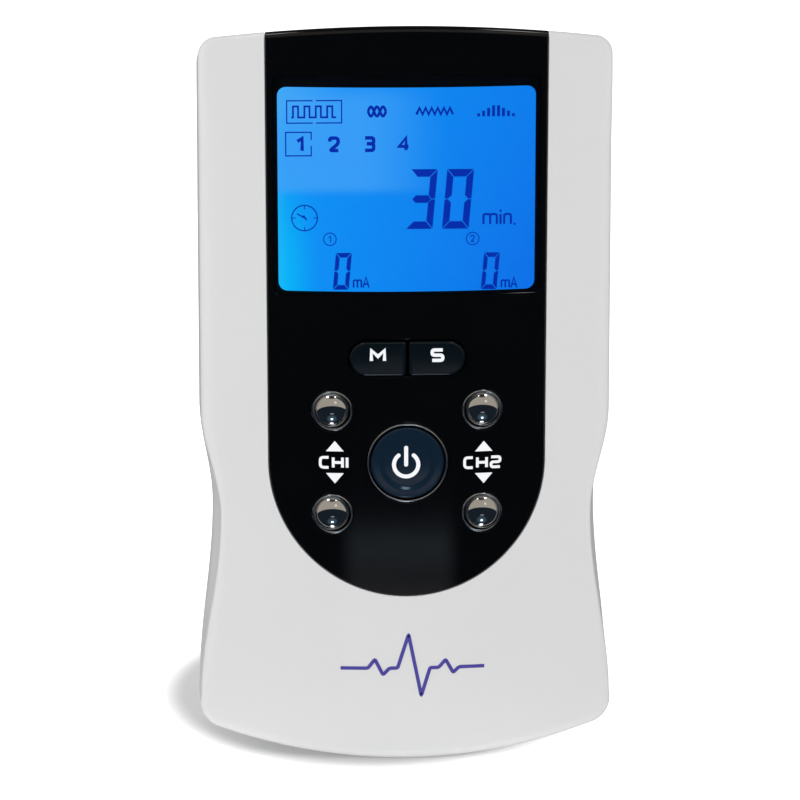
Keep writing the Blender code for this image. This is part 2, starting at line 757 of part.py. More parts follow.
def electronics(looks):
    back = BOARD_FRONT - GAP
    low, high = BOARD_Z
    block("main_board", (-BOARD_HALF, BOARD_FRONT, low), (BOARD_HALF, BOARD_BACK, high), looks["board"])
    block("lcd_glass", LCD_LOW, LCD_HIGH, looks["lcd"])
    side, top = BACKLIGHT_SIDE
    block("lcd_backlight", BACKLIGHT_LOW, (side, back, top), looks["backlight"])
    side, top = CONNECTOR_SIDE
    block("lcd_connector", CONNECTOR_LOW, (side, back, top), looks["rubber"])
    side, top = FRAME_SIDE
    frame = block("lcd_frame", FRAME_LOW, (side, back, top), looks["switch"])
    cut(frame, block("frame_window", *FRAME_WINDOW))
    rear = BOARD_BACK + GAP
    first = (CHIP_LOW[0], rear, CHIP_LOW[1])
    block("controller_chip", first, (CHIP_HIGH[0], rear + CHIP_THICK, CHIP_HIGH[1]), looks["chip"])
    for channel, x in ((1, -TRANSFORMER_X), (2, TRANSFORMER_X)):
        quarter = [(6, -5.5), (6, -3), (4, -3), (4, 3), (6, 3), (6, 5.5)]
        core = [(x + u, TRANSFORMER_Z + v) for u, v in quarter]
        core += [(x - u, TRANSFORMER_Z + v) for u, v in reversed(quarter)]
        extrusion(f"transformer_ch{channel}", core, "Y", rear, TRANSFORMER_BACK, looks["ferrite"])
    can = [(2.6, rear), (3.1, rear + 0.5), (3.1, rear + 1.2), (2.8, rear + 1.6), (3.1, rear + 2.0)]
    can += [(3.1, 4.0), (2.8, 4.4)]
    turned("capacitor", (0, 0, CAPACITOR_Z), "Y", can, 14, looks["can"])
    cup = [(6.0, rear), (6.0, 0.0), (1.2, 0.0), (1.2, -1.5)]
    turned("buzzer", (0, 0, BUZZER_Z), "Y", cup, 18, looks["chip"])


def jack(name, centre, axis, mouth, look):
    """Lead socket: a round body with a blind bore and a contact pin standing in it."""
    profile = [(JACK_RADIUS, 0.0), (JACK_RADIUS, mouth), (JACK_BORE, mouth)]
    profile += [(JACK_BORE, JACK_FLOOR), (JACK_PIN, JACK_FLOOR)]
    profile += [(JACK_PIN, mouth - 1.6), (JACK_PIN - 0.4, mouth - 1.0)]
    turned(name, centre, axis, profile, 16, look)


def sockets(looks):
    jack("output_jack_ch1", (-JACK_X, JACK_Y, JACK_BASE), "Z", JACK_LENGTH, looks["switch"])
    jack("output_jack_ch2", (JACK_X, JACK_Y, JACK_BASE), "Z", JACK_LENGTH, looks["switch"])
    jack("dc_jack", (DC_BASE, DC_Y, DC_Z), "X", DC_LENGTH, looks["switch"])


# Power


def cell(name, x, up, look):
    """AA cell with its positive nub up or down."""
    body = CELL_LENGTH - NUB_LENGTH
    top = BAY_Z[1] - GAP - PLATE_THICK - GAP
    bottom = BAY_Z[0] + GAP + PLATE_THICK + GAP
    tip, sign = (top, 1) if up else (bottom, -1)
    ends = [(CELL_END, body), (CELL_RADIUS, body - 0.5), (CELL_RADIUS, 0.5), (CELL_END, 0.0)]
    nub = [(NUB_RADIUS - 0.35, CELL_LENGTH), (NUB_RADIUS, CELL_LENGTH - 0.3), (NUB_RADIUS, body)]
    profile = nub + ends
    start = tip - sign * CELL_LENGTH
    shape = [(radius, sign * along) for radius, along in profile]
    turned(name, (x, CELL_Y, start), "Z", shape, 18, look)


def contact(name, columns, springs, at_top, look):
    """Contact plate behind one or two cells, with a coil spring for each negative end."""
    low, high = BAY_Z
    face = high - GAP - PLATE_THICK if at_top else low + GAP + PLATE_THICK
    outer = high - GAP if at_top else low + GAP
    reach = CONTACT_HALF
    corners = sorted((face, outer))
    first = (min(columns) - reach, CELL_Y - reach, corners[0])
    plate = block(name, first, (max(columns) + reach, CELL_Y + reach, corners[1]), look)
    sign = -1 if at_top else 1
    length = BAY_Z[1] - BAY_Z[0] - 2 * (2 * GAP + PLATE_THICK) - CELL_LENGTH
    wide, narrow = COIL
    count = COIL_TURNS * WIRE_STEPS
    for x in springs:
        path = []
        for k in range(count + 1):
            share = k / count
            angle = 2 * math.pi * COIL_TURNS * share
            radius = wide - (wide - narrow) * share
            z = face + sign * (length * share - 0.15)
            path.append((x + radius * math.cos(angle), CELL_Y + radius * math.sin(angle), z))
        join(plate, wire(f"{name}_coil", path, COIL_WIRE))


def power(looks):
    columns = [CELL_PITCH * (k - 1.5) for k in range(4)]
    for k, x in enumerate(columns):
        cell(f"cell_{k + 1}", x, k % 2 == 0, looks["cell"])
    contact("contact_positive", [columns[0]], [], True, looks["spring"])
    contact("contact_link_12", columns[0:2], [columns[0]], False, looks["spring"])
    contact("contact_link_23", columns[1:3], [columns[1]], True, looks["spring"])
    contact("contact_link_34", columns[2:4], [columns[2]], False, looks["spring"])
    contact("contact_negative", [columns[3]], [columns[3]], True, looks["spring"])


# Belt clip and screws


def clip_side():
    """Side view of the clip as (y, z): thumb end, straight arm, tip curled to the housing."""
    outer = BACK_DEPTH
    inner = CLIP_INNER
    tip = arc(outer - CLIP_CURL, CLIP_CURL_Z, CLIP_CURL, 0, -90, 5)
    hook = arc(outer - CLIP_CURL, CLIP_CURL_Z, CLIP_CURL - (outer - inner), -90, 0, 4)
    z = CLIP_TOE_Z
    toe = [(UPPER_BACK + 1.0, z - 0.9), (UPPER_BACK + GAP, z), (UPPER_BACK + 1.0, z + 0.8)]
    return [(inner, CLIP_TOP), (outer - 0.5, CLIP_TOP), (outer, CLIP_TOP - 0.6)] + tip + toe + hook


def belt_clip(looks):
    origin = (0.0, PIN_Y, PIN_Z)
    clip = extrusion("belt_clip", clip_side(), "X", -CLIP_HALF, CLIP_HALF, looks["clip"], origin)
    for side in (-1, 1):
        edges = sorted((side * CLIP_NECK, side * (CLIP_HALF + 1)))
        first = (edges[0], 5.0, PIN_Z - CLIP_NOTCH)
        cut(clip, block(f"notch{side}", first, (edges[1], BEHIND, PIN_Z + CLIP_NOTCH)))
    barrel = rod(BARREL_RADIUS, (-CLIP_NECK, CLIP_NECK))
    join(clip, turned("barrel", origin, "X", barrel, 16))
    first = (-SPRING_WELL, 5.0, PIN_Z - 11.0)
    cut(clip, block("spring_well", first, (SPRING_WELL, CLIP_INNER + 0.4, PIN_Z + 3.2)))
    cut(clip, turned("clip_bore", origin, "X", PIN_HOLE, 12))


def clip_hinge(looks):
    reach = CLIP_NECK + GAP + 2.1
    pin = rod(PIN_RADIUS, (-reach, reach))
    turned("clip_pin", (0, PIN_Y, PIN_Z), "X", pin, 12, looks["spring"])
    radius, half = SPRING_RADIUS, SPRING_HALF
    count = int(SPRING_TURNS * WIRE_STEPS)
    path = [(-half, PIN_Y + radius, PIN_Z - SPRING_LEG)]
    for k in range(count + 1):
        angle = 2 * math.pi * k / WIRE_STEPS
        x = half * (2 * k / count - 1)
        path.append((x, PIN_Y + radius * math.cos(angle), PIN_Z + radius * math.sin(angle)))
    path.append((half, PIN_Y - radius, PIN_Z - SPRING_LEG))
    wire("clip_spring", path, SPRING_WIRE, looks["spring"], (0, PIN_Y, PIN_Z))


def screws(looks):
    number = 0
    for side in (-1, 1):
        for z in SCREW_Z:
            number += 1
            place = (side * SCREW_X, 0.0, z)
            profile = [(SCREW_HEAD - 0.5, SCREW_TOP), (SCREW_HEAD, SCREW_TOP - 0.4)]
            profile += [(SCREW_HEAD, SCREW_SEAT), (SCREW_SHANK, SCREW_SEAT)]
            profile += [(SCREW_SHANK, SCREW_TIP + 0.6), (SCREW_SHANK / 2, SCREW_TIP)]
            screw = turned(f"screw_{number}", place, "Y", profile, 14, looks["screw"])
            for turn, (wide, tall) in enumerate((SLOT, SLOT[::-1])):
                low = (place[0] - wide, SLOT_FLOOR, z - tall)
                high = (place[0] + wide, SCREW_TOP + 1.0, z + tall)
                cut(screw, block(f"slot{number}_{turn}", low, high))


def build():
    clear_scene()
    looks = {
        "shell": material("white_abs", (0.78, 0.78, 0.79), 0.3),
        "door": material("white_door", (0.76, 0.76, 0.77), 0.32),
        "panel": material("black_gloss", (0.008, 0.008, 0.009), 0.08),
        "lens": material("clear_lens", (0.02, 0.05, 0.12), 0.03),
        "key": material("slate_key", (0.012, 0.018, 0.026), 0.25),
        "chrome": material("chrome", (0.8, 0.78, 0.74), 0.06, 1.0),
        "clip": material("white_clip", (0.7, 0.7, 0.71), 0.35),
        "switch": material("black_plastic", (0.02, 0.02, 0.02), 0.5),
        "plunger": material("plunger", (0.5, 0.45, 0.35), 0.5),
        "board": material("board_green", (0.02, 0.16, 0.06), 0.45),
        "lcd": material("lcd_glass", (0.05, 0.25, 0.8), 0.05),
        "backlight": material("backlight", (0.6, 0.8, 1.0), 0.3),
        "rubber": material("rubber", (0.05, 0.05, 0.06), 0.8),
        "chip": material("chip", (0.015, 0.015, 0.017), 0.45),
        "ferrite": material("ferrite", (0.04, 0.038, 0.036), 0.6),
        "can": material("can", (0.55, 0.56, 0.58), 0.3, 1.0),
        "cell": material("cell_wrap", (0.05, 0.12, 0.3), 0.35),
        "spring": material("spring_steel", (0.6, 0.6, 0.62), 0.25, 1.0),
        "screw": material("screw_steel", (0.4, 0.4, 0.42), 0.35, 1.0),
    }
    front_shell(looks)
    rear_shell(looks)
    front_panel(looks)
    display_lens(looks)
    battery_door(looks)
    keys(looks)
    switches(looks)
    electronics(looks)
    sockets(looks)
    power(looks)
    belt_clip(looks)
    clip_hinge(looks)
    screws(looks)


build()
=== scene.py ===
"""Looks of the handheld two-channel TENS unit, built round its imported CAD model.

+X is to the unit's right as its front is looked at, the front faces -Y and +Z runs up its length.
Sizes below are in millimetres; meshes are made in metres.
"""

import json
import math

import bmesh
import bpy
from mathutils import Matrix, Vector
from mathutils.bvhtree import BVHTree
from mathutils.interpolate import poly_3d_calc

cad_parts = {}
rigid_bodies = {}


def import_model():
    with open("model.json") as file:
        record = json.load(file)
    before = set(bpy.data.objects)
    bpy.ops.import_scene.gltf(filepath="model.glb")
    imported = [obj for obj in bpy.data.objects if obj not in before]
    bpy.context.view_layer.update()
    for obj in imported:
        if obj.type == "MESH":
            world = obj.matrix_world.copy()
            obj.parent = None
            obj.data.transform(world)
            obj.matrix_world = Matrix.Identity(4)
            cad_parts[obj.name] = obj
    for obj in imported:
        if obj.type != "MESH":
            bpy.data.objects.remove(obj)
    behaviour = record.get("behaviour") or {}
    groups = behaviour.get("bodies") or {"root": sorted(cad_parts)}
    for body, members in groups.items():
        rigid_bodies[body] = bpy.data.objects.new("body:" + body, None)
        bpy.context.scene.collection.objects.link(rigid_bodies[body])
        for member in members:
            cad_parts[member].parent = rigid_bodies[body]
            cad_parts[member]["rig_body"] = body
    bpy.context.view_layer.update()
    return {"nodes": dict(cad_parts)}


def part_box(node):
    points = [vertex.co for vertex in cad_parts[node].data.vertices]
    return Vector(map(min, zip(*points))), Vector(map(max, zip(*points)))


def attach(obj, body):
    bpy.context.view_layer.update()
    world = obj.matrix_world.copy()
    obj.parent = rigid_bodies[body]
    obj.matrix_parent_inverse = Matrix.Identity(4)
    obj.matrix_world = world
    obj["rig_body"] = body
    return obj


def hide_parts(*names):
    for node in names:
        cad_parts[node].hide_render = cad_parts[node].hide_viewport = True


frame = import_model()

MM = 0.001
TINY = 1e-6
SHARP_ANGLE = math.radians(30)

# Housing form, as in the CAD
HEIGHT = 127.3
HALF_WIDTH = 35.43
UPPER_TAPER = 0.0052
LOWER_FLARE = 0.0124
FOOT_RADIUS = 120.0
TOP_RADIUS = 428.0
FOOT_CORNER = 4.5
TOP_CORNER = 3.2
FOOT_HALF = 9.0
GRIP_Z = 42.4
GRIP_DEPTH = 2.31
GRIP_REACH_UP = 18.5
GRIP_REACH_DOWN = 33.0
FRONT_DEPTH = 13.5
BACK_DEPTH = 13.5
UPPER_BACK = 7.3
STEP_LOW = 68.0
STEP_HIGH = 74.0
CROWN = 2.4 / 23.45**2
PARTING = 3.0
WALL = 2.0
SIDE_DRAFT = 0.4
EDGE_RADIUS = 4.0
CORNER_EDGE_RADIUS = 2.4
TOP_EDGE_RADIUS = 1.6
LEAST_RADIUS = 0.5
EDGE_LOW = 8.5
EDGE_HIGH = 120.0
EDGE_FADE = 14.0
BACK_RADIUS = 2.6
TOP_RAKE = math.tan(math.radians(12.5))
RAKE_START = 95.0
RAKE_FULL = 116.0
PANEL_CENTRE_Z = 53.0
GAP = 0.3
SEAM = 0.16
LIP = 0.22
CORNER_STEPS = 12
FOLD = 1000.0
ROW_STEP = 2.0
END_STEP = 3.0
LEVEL = [END_STEP * k for k in range(11)]
SIDE_LOW = 10.0
SIDE_HIGH = 120.5
SLOPE_STEP = 0.2
OUTER_STEPS = 8
INNER_STEPS = 2


def mid(node):
    """Middle of a CAD node's box, in millimetres."""
    low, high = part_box(node)
    return (low + high) / 2 / MM


def low_high(node):
    """Lowest and highest corner of a CAD node, in millimetres."""
    low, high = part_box(node)
    return low / MM, high / MM


# Meshes


def make_object(name, points, faces, look=None):
    """An object at the origin from points in millimetres."""
    grid = bmesh.new()
    corners = [grid.verts.new(Vector(point) * MM) for point in points]
    for face in faces:
        grid.faces.new([corners[index] for index in face])
    bmesh.ops.recalc_face_normals(grid, faces=grid.faces)
    mesh = bpy.data.meshes.new(name)
    grid.to_mesh(mesh)
    grid.free()
    made = bpy.data.objects.new(name, mesh)
    bpy.context.collection.objects.link(made)
    if look:
        mesh.materials.append(look)
    mesh.shade_smooth()
    mesh.set_sharp_from_angle(angle=SHARP_ANGLE)
    return made


def together(forms):
    """Several (points, faces) forms as one."""
    points, faces = [], []
    for more_points, more_faces in forms:
        first = len(points)
        points.extend(more_points)
        faces.extend(tuple(first + index for index in face) for face in more_faces)
    return points, faces


def bridge(loops, ring=False):
    """Points and faces of loops joined one to the next, capped at both ends or closed as a ring."""
    count = len(loops[0])
    points = [point for loop in loops for point in loop]
    faces = []
    pairs = [(k, k + 1) for k in range(len(loops) - 1)]
    if ring:
        pairs.append((len(loops) - 1, 0))
    for low, high in pairs:
        for i in range(count):
            j = (i + 1) % count
            faces.append((low * count + i, low * count + j, high * count + j, high * count + i))
    if not ring:
        last = (len(loops) - 1) * count
        faces.append(tuple(range(count)))
        faces.append(tuple(range(last, last + count)))
    return points, faces


def turned(centre, axis, profile, count=72, ring=False, tilt=0.0):
    """A turned form: profile is (radius, place along the axis) from the centre; tilt turns it about Z."""
    turn = Matrix.Rotation(tilt, 3, "Z")
    loops = []
    for radius, along in profile:
        loop = []
        for k in range(count):
            angle = 2 * math.pi * (k + 0.5) / count
            u = radius * math.cos(angle)
            v = radius * math.sin(angle)
            offset = {"X": (along, u, v), "Y": (u, along, v), "Z": (u, v, along)}[axis]
            loop.append(Vector(centre) + turn @ Vector(offset))
        loops.append(loop)
    return bridge(loops, ring)


def prism(shape, axis, ends):
    """An outline in the other two axes, in their order, pulled along one axis."""
    at = "XYZ".index(axis)
    return bridge([[(*spot[:at], end, *spot[at:]) for spot in shape] for end in ends])


def block(low, high):
    corners = [(low[0], low[1]), (high[0], low[1]), (high[0], high[1]), (low[0], high[1])]
    return prism(corners, "Z", (low[2], high[2]))


def arc(cx, cy, radius, start, end, steps):
    """Points on a circular arc, angles in degrees."""
    turn = [math.radians(start + (end - start) * k / steps) for k in range(steps + 1)]
    return [(cx + radius * math.cos(a), cy + radius * math.sin(a)) for a in turn]


def rounded_box(half_x, low_z, high_z, radius, steps=8, across=24):
    """Rounded rectangle as (x, z), its level edges divided so that they can follow the crown."""
    low, high = low_z + radius, high_z - radius
    reach = half_x - radius
    level = [reach - 2 * reach * k / across for k in range(1, across)]
    points = arc(reach, low, radius, -90, 0, steps) + arc(reach, high, radius, 0, 90, steps)
    points += [(x, high_z) for x in level]
    points += arc(-reach, high, radius, 90, 180, steps) + arc(-reach, low, radius, 180, 270, steps)
    return points + [(-x, low_z) for x in level]


def discard(thing):
    mesh = thing.data
    bpy.data.objects.remove(thing)
    bpy.data.meshes.remove(mesh)


def change(body, form, operation="DIFFERENCE"):
    """Cuts, joins or trims body with a form."""
    cutter = make_object("tool", *form)
    modifier = body.modifiers.new("change", "BOOLEAN")
    modifier.operation = operation
    modifier.solver = "EXACT"
    modifier.object = cutter
    graph = bpy.context.evaluated_depsgraph_get()
    mesh = bpy.data.meshes.new_from_object(body.evaluated_get(graph))
    body.modifiers.clear()
    old = body.data
    body.data = mesh
    bpy.data.meshes.remove(old)
    discard(cutter)


# How near a face lies to a master skin, how parallel it is, and how far inside it a corner is sampled
SKIN_REACH = 0.02
SKIN_ALIGNED = 0.985
SKIN_INWARD = 0.02


def take_normals(mesh, master, normals):
    """Gives faces left from a master skin that skin's normals, so cuts leave no ripples."""
    skin_normals = [Vector(item.vector) for item in master.vertex_normals]
    corners = [vertex.co.copy() for vertex in master.vertices]
    faces = [tuple(face.vertices) for face in master.polygons]
    tree = BVHTree.FromPolygons(corners, faces)
    for face in mesh.polygons:
        _, flat, _, away = tree.find_nearest(face.center)
        if away > SKIN_REACH * MM or flat.dot(face.normal) < SKIN_ALIGNED:
            continue
        for loop in face.loop_indices:
            point = mesh.vertices[mesh.loops[loop].vertex_index].co
            near, _, index, _ = tree.find_nearest(point.lerp(face.center, SKIN_INWARD))
            ring = faces[index]
            total = Vector()
            for share, k in zip(poly_3d_calc([corners[k] for k in ring], near), ring):
                total += skin_normals[k] * share
            if total.length > 0.1 and total.dot(face.normal) > 0:
                normals[loop] = total.normalized()


def polish(piece, smooth):
    mesh = piece.data
    mesh.shade_smooth()
    mesh.set_sharp_from_angle(angle=SHARP_ANGLE)
    normals = [Vector(item.vector) for item in mesh.corner_normals]
    if smooth:
        take_normals(mesh, smooth.data, normals)
    mesh.normals_split_custom_set([tuple(normal) for normal in normals])


def complete(piece, smooth, body, slot_name, node_name):
    """Shades a cut piece, after its outer skin where it has one, and mounts it."""
    polish(piece, smooth)
    if smooth:
        discard(smooth)
    mount(piece, body, slot_name, node_name)


# Housing surfaces, as in the CAD but finer


def crown(x):
    return -FRONT_DEPTH + CROWN * x * x


def back_surface(z):
    """Full depth over the battery bay, then an eased step in for the belt clip."""
    share = min(max((z - STEP_LOW) / (STEP_HIGH - STEP_LOW), 0.0), 1.0)
    return BACK_DEPTH + (UPPER_BACK - BACK_DEPTH) * share


def dent(z):
    reach = GRIP_REACH_UP if z > GRIP_Z else GRIP_REACH_DOWN
    share = abs(z - GRIP_Z) / reach
    return GRIP_DEPTH * 0.5 * (1 + math.cos(math.pi * min(share, 1.0)))


def half_width(z):
    knee = GRIP_Z + GRIP_REACH_UP
    slope = UPPER_TAPER if z > knee else LOWER_FLARE
    return HALF_WIDTH - slope * (z - knee) - dent(z)


def end_arc(x, radius):
    """How far a bulged end of that radius falls back at x."""
    return radius - math.sqrt(radius**2 - x * x)


def corner_places(z_end, sign, radius, small, shares):
    """Places on the corner circle that touches the side and the bulged end, at shares of its angle."""
    x = half_width(z_end) - small
    fall = radius - math.sqrt((radius - small) ** 2 - x * x)
    swing = math.acos(x / (radius - small))
    turn = [(math.cos(swing * share), math.sin(swing * share)) for share in shares]
    return [(x + small * c, z_end + sign * fall + small * s, c, s) for c, s in turn]


def side_rows():
    """Heights of the ribs along the straight of the side."""
    keys = [SIDE_LOW, STEP_LOW, STEP_HIGH, RAKE_START, RAKE_FULL, SIDE_HIGH]
    rows = []
    for low, high in zip(keys, keys[1:]):
        count = max(1, round((high - low) / ROW_STEP))
        rows += [low + (high - low) * k / count for k in range(count)]
    return rows + [keys[-1]]


def outline():
    """Right half of the housing's outline as (x, z, normal x, normal z), foot to top."""
    shares = [k / CORNER_STEPS for k in range(CORNER_STEPS + 1)]
    foot = -end_arc(FOOT_HALF, FOOT_RADIUS)
    places = [(x, foot + end_arc(x, FOOT_RADIUS), x / FOOT_RADIUS, -1.0) for x in LEVEL]
    places += corner_places(foot, 1, FOOT_RADIUS, FOOT_CORNER, [share - 1 for share in shares])
    for z in side_rows():
        slope = (half_width(z + SLOPE_STEP) - half_width(z - SLOPE_STEP)) / (2 * SLOPE_STEP)
        places.append((half_width(z), z, 1.0, -slope))
    places += corner_places(HEIGHT, -1, TOP_RADIUS, TOP_CORNER, shares)
    places += [(x, HEIGHT - end_arc(x, TOP_RADIUS), x / TOP_RADIUS, 1.0) for x in reversed(LEVEL)]
    return places


PLACES = outline()


def edge_radius(z, nz):
    """Rounding of the front edge: full along the sides, tighter at the corners and the upper end."""
    near = 1 - min(z - EDGE_LOW, EDGE_HIGH - z) / EDGE_FADE
    near = min(max(near, 0.0), 1.0)
    side = EDGE_RADIUS - (EDGE_RADIUS - CORNER_EDGE_RADIUS) * near * near * (3 - 2 * near)
    return side - (side - TOP_EDGE_RADIUS) * max(nz, 0.0)


def front_rib(place, wall, steps):
    x, z, nx, nz = place
    squeeze = dent(z) * abs(nx)
    inset = wall + SIDE_DRAFT * abs(nx) + 0.5 * squeeze
    outer = edge_radius(z, nz) * (1 - 0.6 * squeeze / GRIP_DEPTH)
    radius = max(outer - wall, LEAST_RADIUS)
    lean = math.atan(2 * CROWN * abs(x)) * abs(nx)
    sweep = math.pi / 2 - lean
    edge_x = x - nx * (inset + radius * (1 - math.cos(sweep)))
    edge_y = crown(edge_x) + wall
    points = [(x - nx * wall, PARTING - SEAM, z - nz * wall)]
    if wall == 0.0:
        points.insert(0, (x - nx * LIP, PARTING, z - nz * LIP))
        low_y = edge_y + radius * math.sin(sweep)
        for k in (1, 2, 3):
            share = k / 4
            y = PARTING - SEAM + (low_y - PARTING + SEAM) * share
            points.append((x - nx * inset * share, y, z - nz * inset * share))
    for k in range(steps + 1):
        angle = sweep * k / steps
        step = inset + radius * (1 - math.cos(angle))
        y = edge_y + radius * (math.sin(sweep) - math.sin(angle))
        points.append((x - nx * step, y, z - nz * step))
    return points


def back_rib(place, wall, steps):
    x, z, nx, nz = place
    inset = wall + SIDE_DRAFT * abs(nx)
    radius = max(BACK_RADIUS - wall, LEAST_RADIUS)
    floor = back_surface(z) - wall
    points = [(x - nx * wall, PARTING + SEAM, z - nz * wall)]
    if wall == 0.0:
        points.insert(0, (x - nx * LIP, PARTING, z - nz * LIP))
    for k in range(steps + 1):
        angle = math.pi / 2 * k / steps
        step = inset + radius * (1 - math.cos(angle))
        points.append((x - nx * step, floor - radius + radius * math.sin(angle), z - nz * step))
    return points


def rake(point):
    """The upper end leans back: points near it drop the further back they are."""
    x, y, z = point
    share = min(max((z - RAKE_START) / (RAKE_FULL - RAKE_START), 0.0), 1.0)
    return x, y, z - TOP_RAKE * (y + FRONT_DEPTH) * share


def strip(points, lower, upper, faces):
    """Fills the band between two runs of points that go the same way, without folding it."""
    a = b = 0
    way = math.copysign(1.0, points[lower[-1]][0] - points[lower[0]][0])

    def cost(first, second, third, old):
        """Length of a triangle's new edge from old, and far more if the triangle would fold over."""
        (x0, _, z0), (x1, _, z1), (x2, _, z2) = points[first], points[second], points[third]
        opens = way * ((x1 - x0) * (z2 - z0) - (x2 - x0) * (z1 - z0)) > 0.0
        return (Vector(points[second]) - Vector(points[old])).length + (0.0 if opens else FOLD)

    while a < len(lower) - 1 or b < len(upper) - 1:
        rising = falling = math.inf
        if a < len(lower) - 1:
            rising = cost(lower[a], lower[a + 1], upper[b], upper[b])
        if b < len(upper) - 1:
            falling = cost(lower[a], upper[b + 1], upper[b], lower[a])
        if rising < falling:
            faces.append((lower[a], lower[a + 1], upper[b]))
            a += 1
        else:
            faces.append((lower[a], upper[b + 1], upper[b]))
            b += 1


def halves(points, lower, upper, faces):
    """Fills a band from both of its ends towards its middle."""
    for way in (1, -1):
        half_low, half_high = (run[::way][:len(run) // 2 + 1] for run in (lower, upper))
        strip(points, half_low, half_high, faces)


def skin(points, faces, rib, wall, steps, columns):
    """Adds one surface of a housing half and gives the indices of its open rim."""
    right = [rib(place, wall, steps) for place in PLACES]
    left = [[(-x, y, z) for x, y, z in ribbed] for ribbed in right[-2:0:-1]]
    ribs = right + left
    first = len(points)
    depth = len(ribs[0])
    for ribbed in ribs:
        points.extend(ribbed)
    index = [[first + i * depth + k for k in range(depth)] for i in range(len(ribs))]
    for i in range(len(ribs)):
        here, there = index[i], index[(i + 1) % len(ribs)]
        for k in range(depth - 1):
            faces.append((here[k], there[k], there[k + 1], here[k + 1]))
    first_row = len(LEVEL) + CORNER_STEPS + 1
    last_row = len(right) - 1 - first_row
    rows = []
    for i in range(first_row, last_row + 1):
        low, high = index[-i][-1], index[i][-1]
        row = [low]
        for c in range(1, columns):
            x = points[low][0] + (points[high][0] - points[low][0]) * c / columns
            y = crown(x) + wall if rib is front_rib else points[low][1]
            points.append((x, y, points[low][2]))
            row.append(len(points) - 1)
        rows.append(row + [high])
    for lower, upper in zip(rows, rows[1:]):
        for c in range(columns):
            faces.append((lower[c], lower[c + 1], upper[c + 1], upper[c]))
    foot = [index[i][-1] for i in range(1 - first_row, first_row)]
    top = [index[i][-1] for i in range(len(ribs) - last_row - 1, last_row, -1)]
    halves(points, foot, rows[0], faces)
    halves(points, rows[-1], top, faces)
    return [ribbed[0] for ribbed in index]


def housing_half(name, rib, columns, look, hollow=True):
    """A hollow or solid housing half and its outer skin alone, whose normals are the clean ones."""
    points, faces = [], []
    outer = skin(points, faces, rib, 0.0, OUTER_STEPS, columns)
    smooth = make_object("smooth", [rake(point) for point in points], list(faces))
    smooth.data.shade_smooth()
    if hollow:
        inner = skin(points, faces, rib, WALL, INNER_STEPS, columns)
        for i in range(len(outer)):
            j = (i + 1) % len(outer)
            faces.append((outer[i], outer[j], inner[j], inner[i]))
    else:
        faces.append(tuple(outer))
    return make_object(name, [rake(point) for point in points], faces, look), smooth


# Materials


class Graph:
    """Builds the shader nodes of one material or world."""

    def __init__(self, owner, space="Object"):
        owner.use_nodes = True
        self.tree = owner.node_tree
        self.place = self.tree.nodes.new("ShaderNodeTexCoord").outputs[space] if space else None

    def feed(self, made, inputs):
        """Links a node's inputs to other nodes' outputs, or sets them to numbers and colours."""
        for key, value in inputs.items():
            socket = made.inputs[key]
            if isinstance(value, bpy.types.NodeSocket):
                self.tree.links.new(value, socket)
            elif socket.type == "RGBA":
                socket.default_value = (*value, 1.0)
            else:
                socket.default_value = value

    def add(self, kind, inputs, **settings):
        made = self.tree.nodes.new("ShaderNode" + kind)
        for key, value in settings.items():
            setattr(made, key, value)
        self.feed(made, inputs)
        return made

    def own(self, name, inputs):
        """Feeds a node that the tree starts with."""
        self.feed(self.tree.nodes[name], inputs)

    def noise(self, scale, detail):
        inputs = {"Scale": scale, "Detail": detail}
        if self.place:
            inputs["Vector"] = self.place
        return self.add("TexNoise", inputs).outputs["Fac"]

    def ramp(self, source, low, high, first=0.0, last=1.0, smooth=True):
        """Maps low to high onto first to last."""
        inputs = {"Value": source, "From Min": low, "From Max": high, "To Min": first, "To Max": last}
        kind = "SMOOTHSTEP" if smooth else "LINEAR"
        return self.add("MapRange", inputs, interpolation_type=kind).outputs["Result"]

    def blend(self, amount, first, second, clamp=True):
        inputs = {"Factor": amount, 6: first, 7: second}
        return self.add("Mix", inputs, data_type="RGBA", clamp_factor=clamp).outputs[2]

    def times(self, first, second):
        return self.add("Math", {0: first, 1: second}, operation="MULTIPLY").outputs[0]

    def vector(self, operation, *values):
        return self.add("VectorMath", dict(enumerate(values)), operation=operation).outputs


def finish(name, colour, roughness, metallic=0.0, grain=900.0, mottle=0.04, spread=0.06,
           bump=0.01, bump_scale=2500.0, coat=0.0, smudge=0.0):
    """Moulded or rolled surface: slow colour drift, fine roughness grain and a shallow bump."""
    look = bpy.data.materials.new(name)
    graph = Graph(look)
    dark = [c * (1 - mottle) for c in colour]
    pale = [min(c * (1 + mottle), 1.0) for c in colour]
    low, high = max(roughness - spread, 0.0), roughness + spread
    rough = graph.ramp(graph.noise(grain, 4.0), 0.0, 1.0, low, high, smooth=False)
    if smudge:
        inputs = {0: graph.noise(60.0, 5.0), 1: smudge, 2: rough}
        rough = graph.add("Math", inputs, operation="MULTIPLY_ADD").outputs[0]
    relief = {"Strength": 0.5, "Distance": bump * MM, "Height": graph.noise(bump_scale, 2.0)}
    graph.own("Principled BSDF", {
        "Base Color": graph.blend(graph.noise(grain / 12, 3.0), dark, pale),
        "Roughness": rough,
        "Normal": graph.add("Bump", relief).outputs["Normal"],
        "Metallic": metallic,
        "Coat Weight": coat,
        "Coat Roughness": 0.04,
    })
    return look


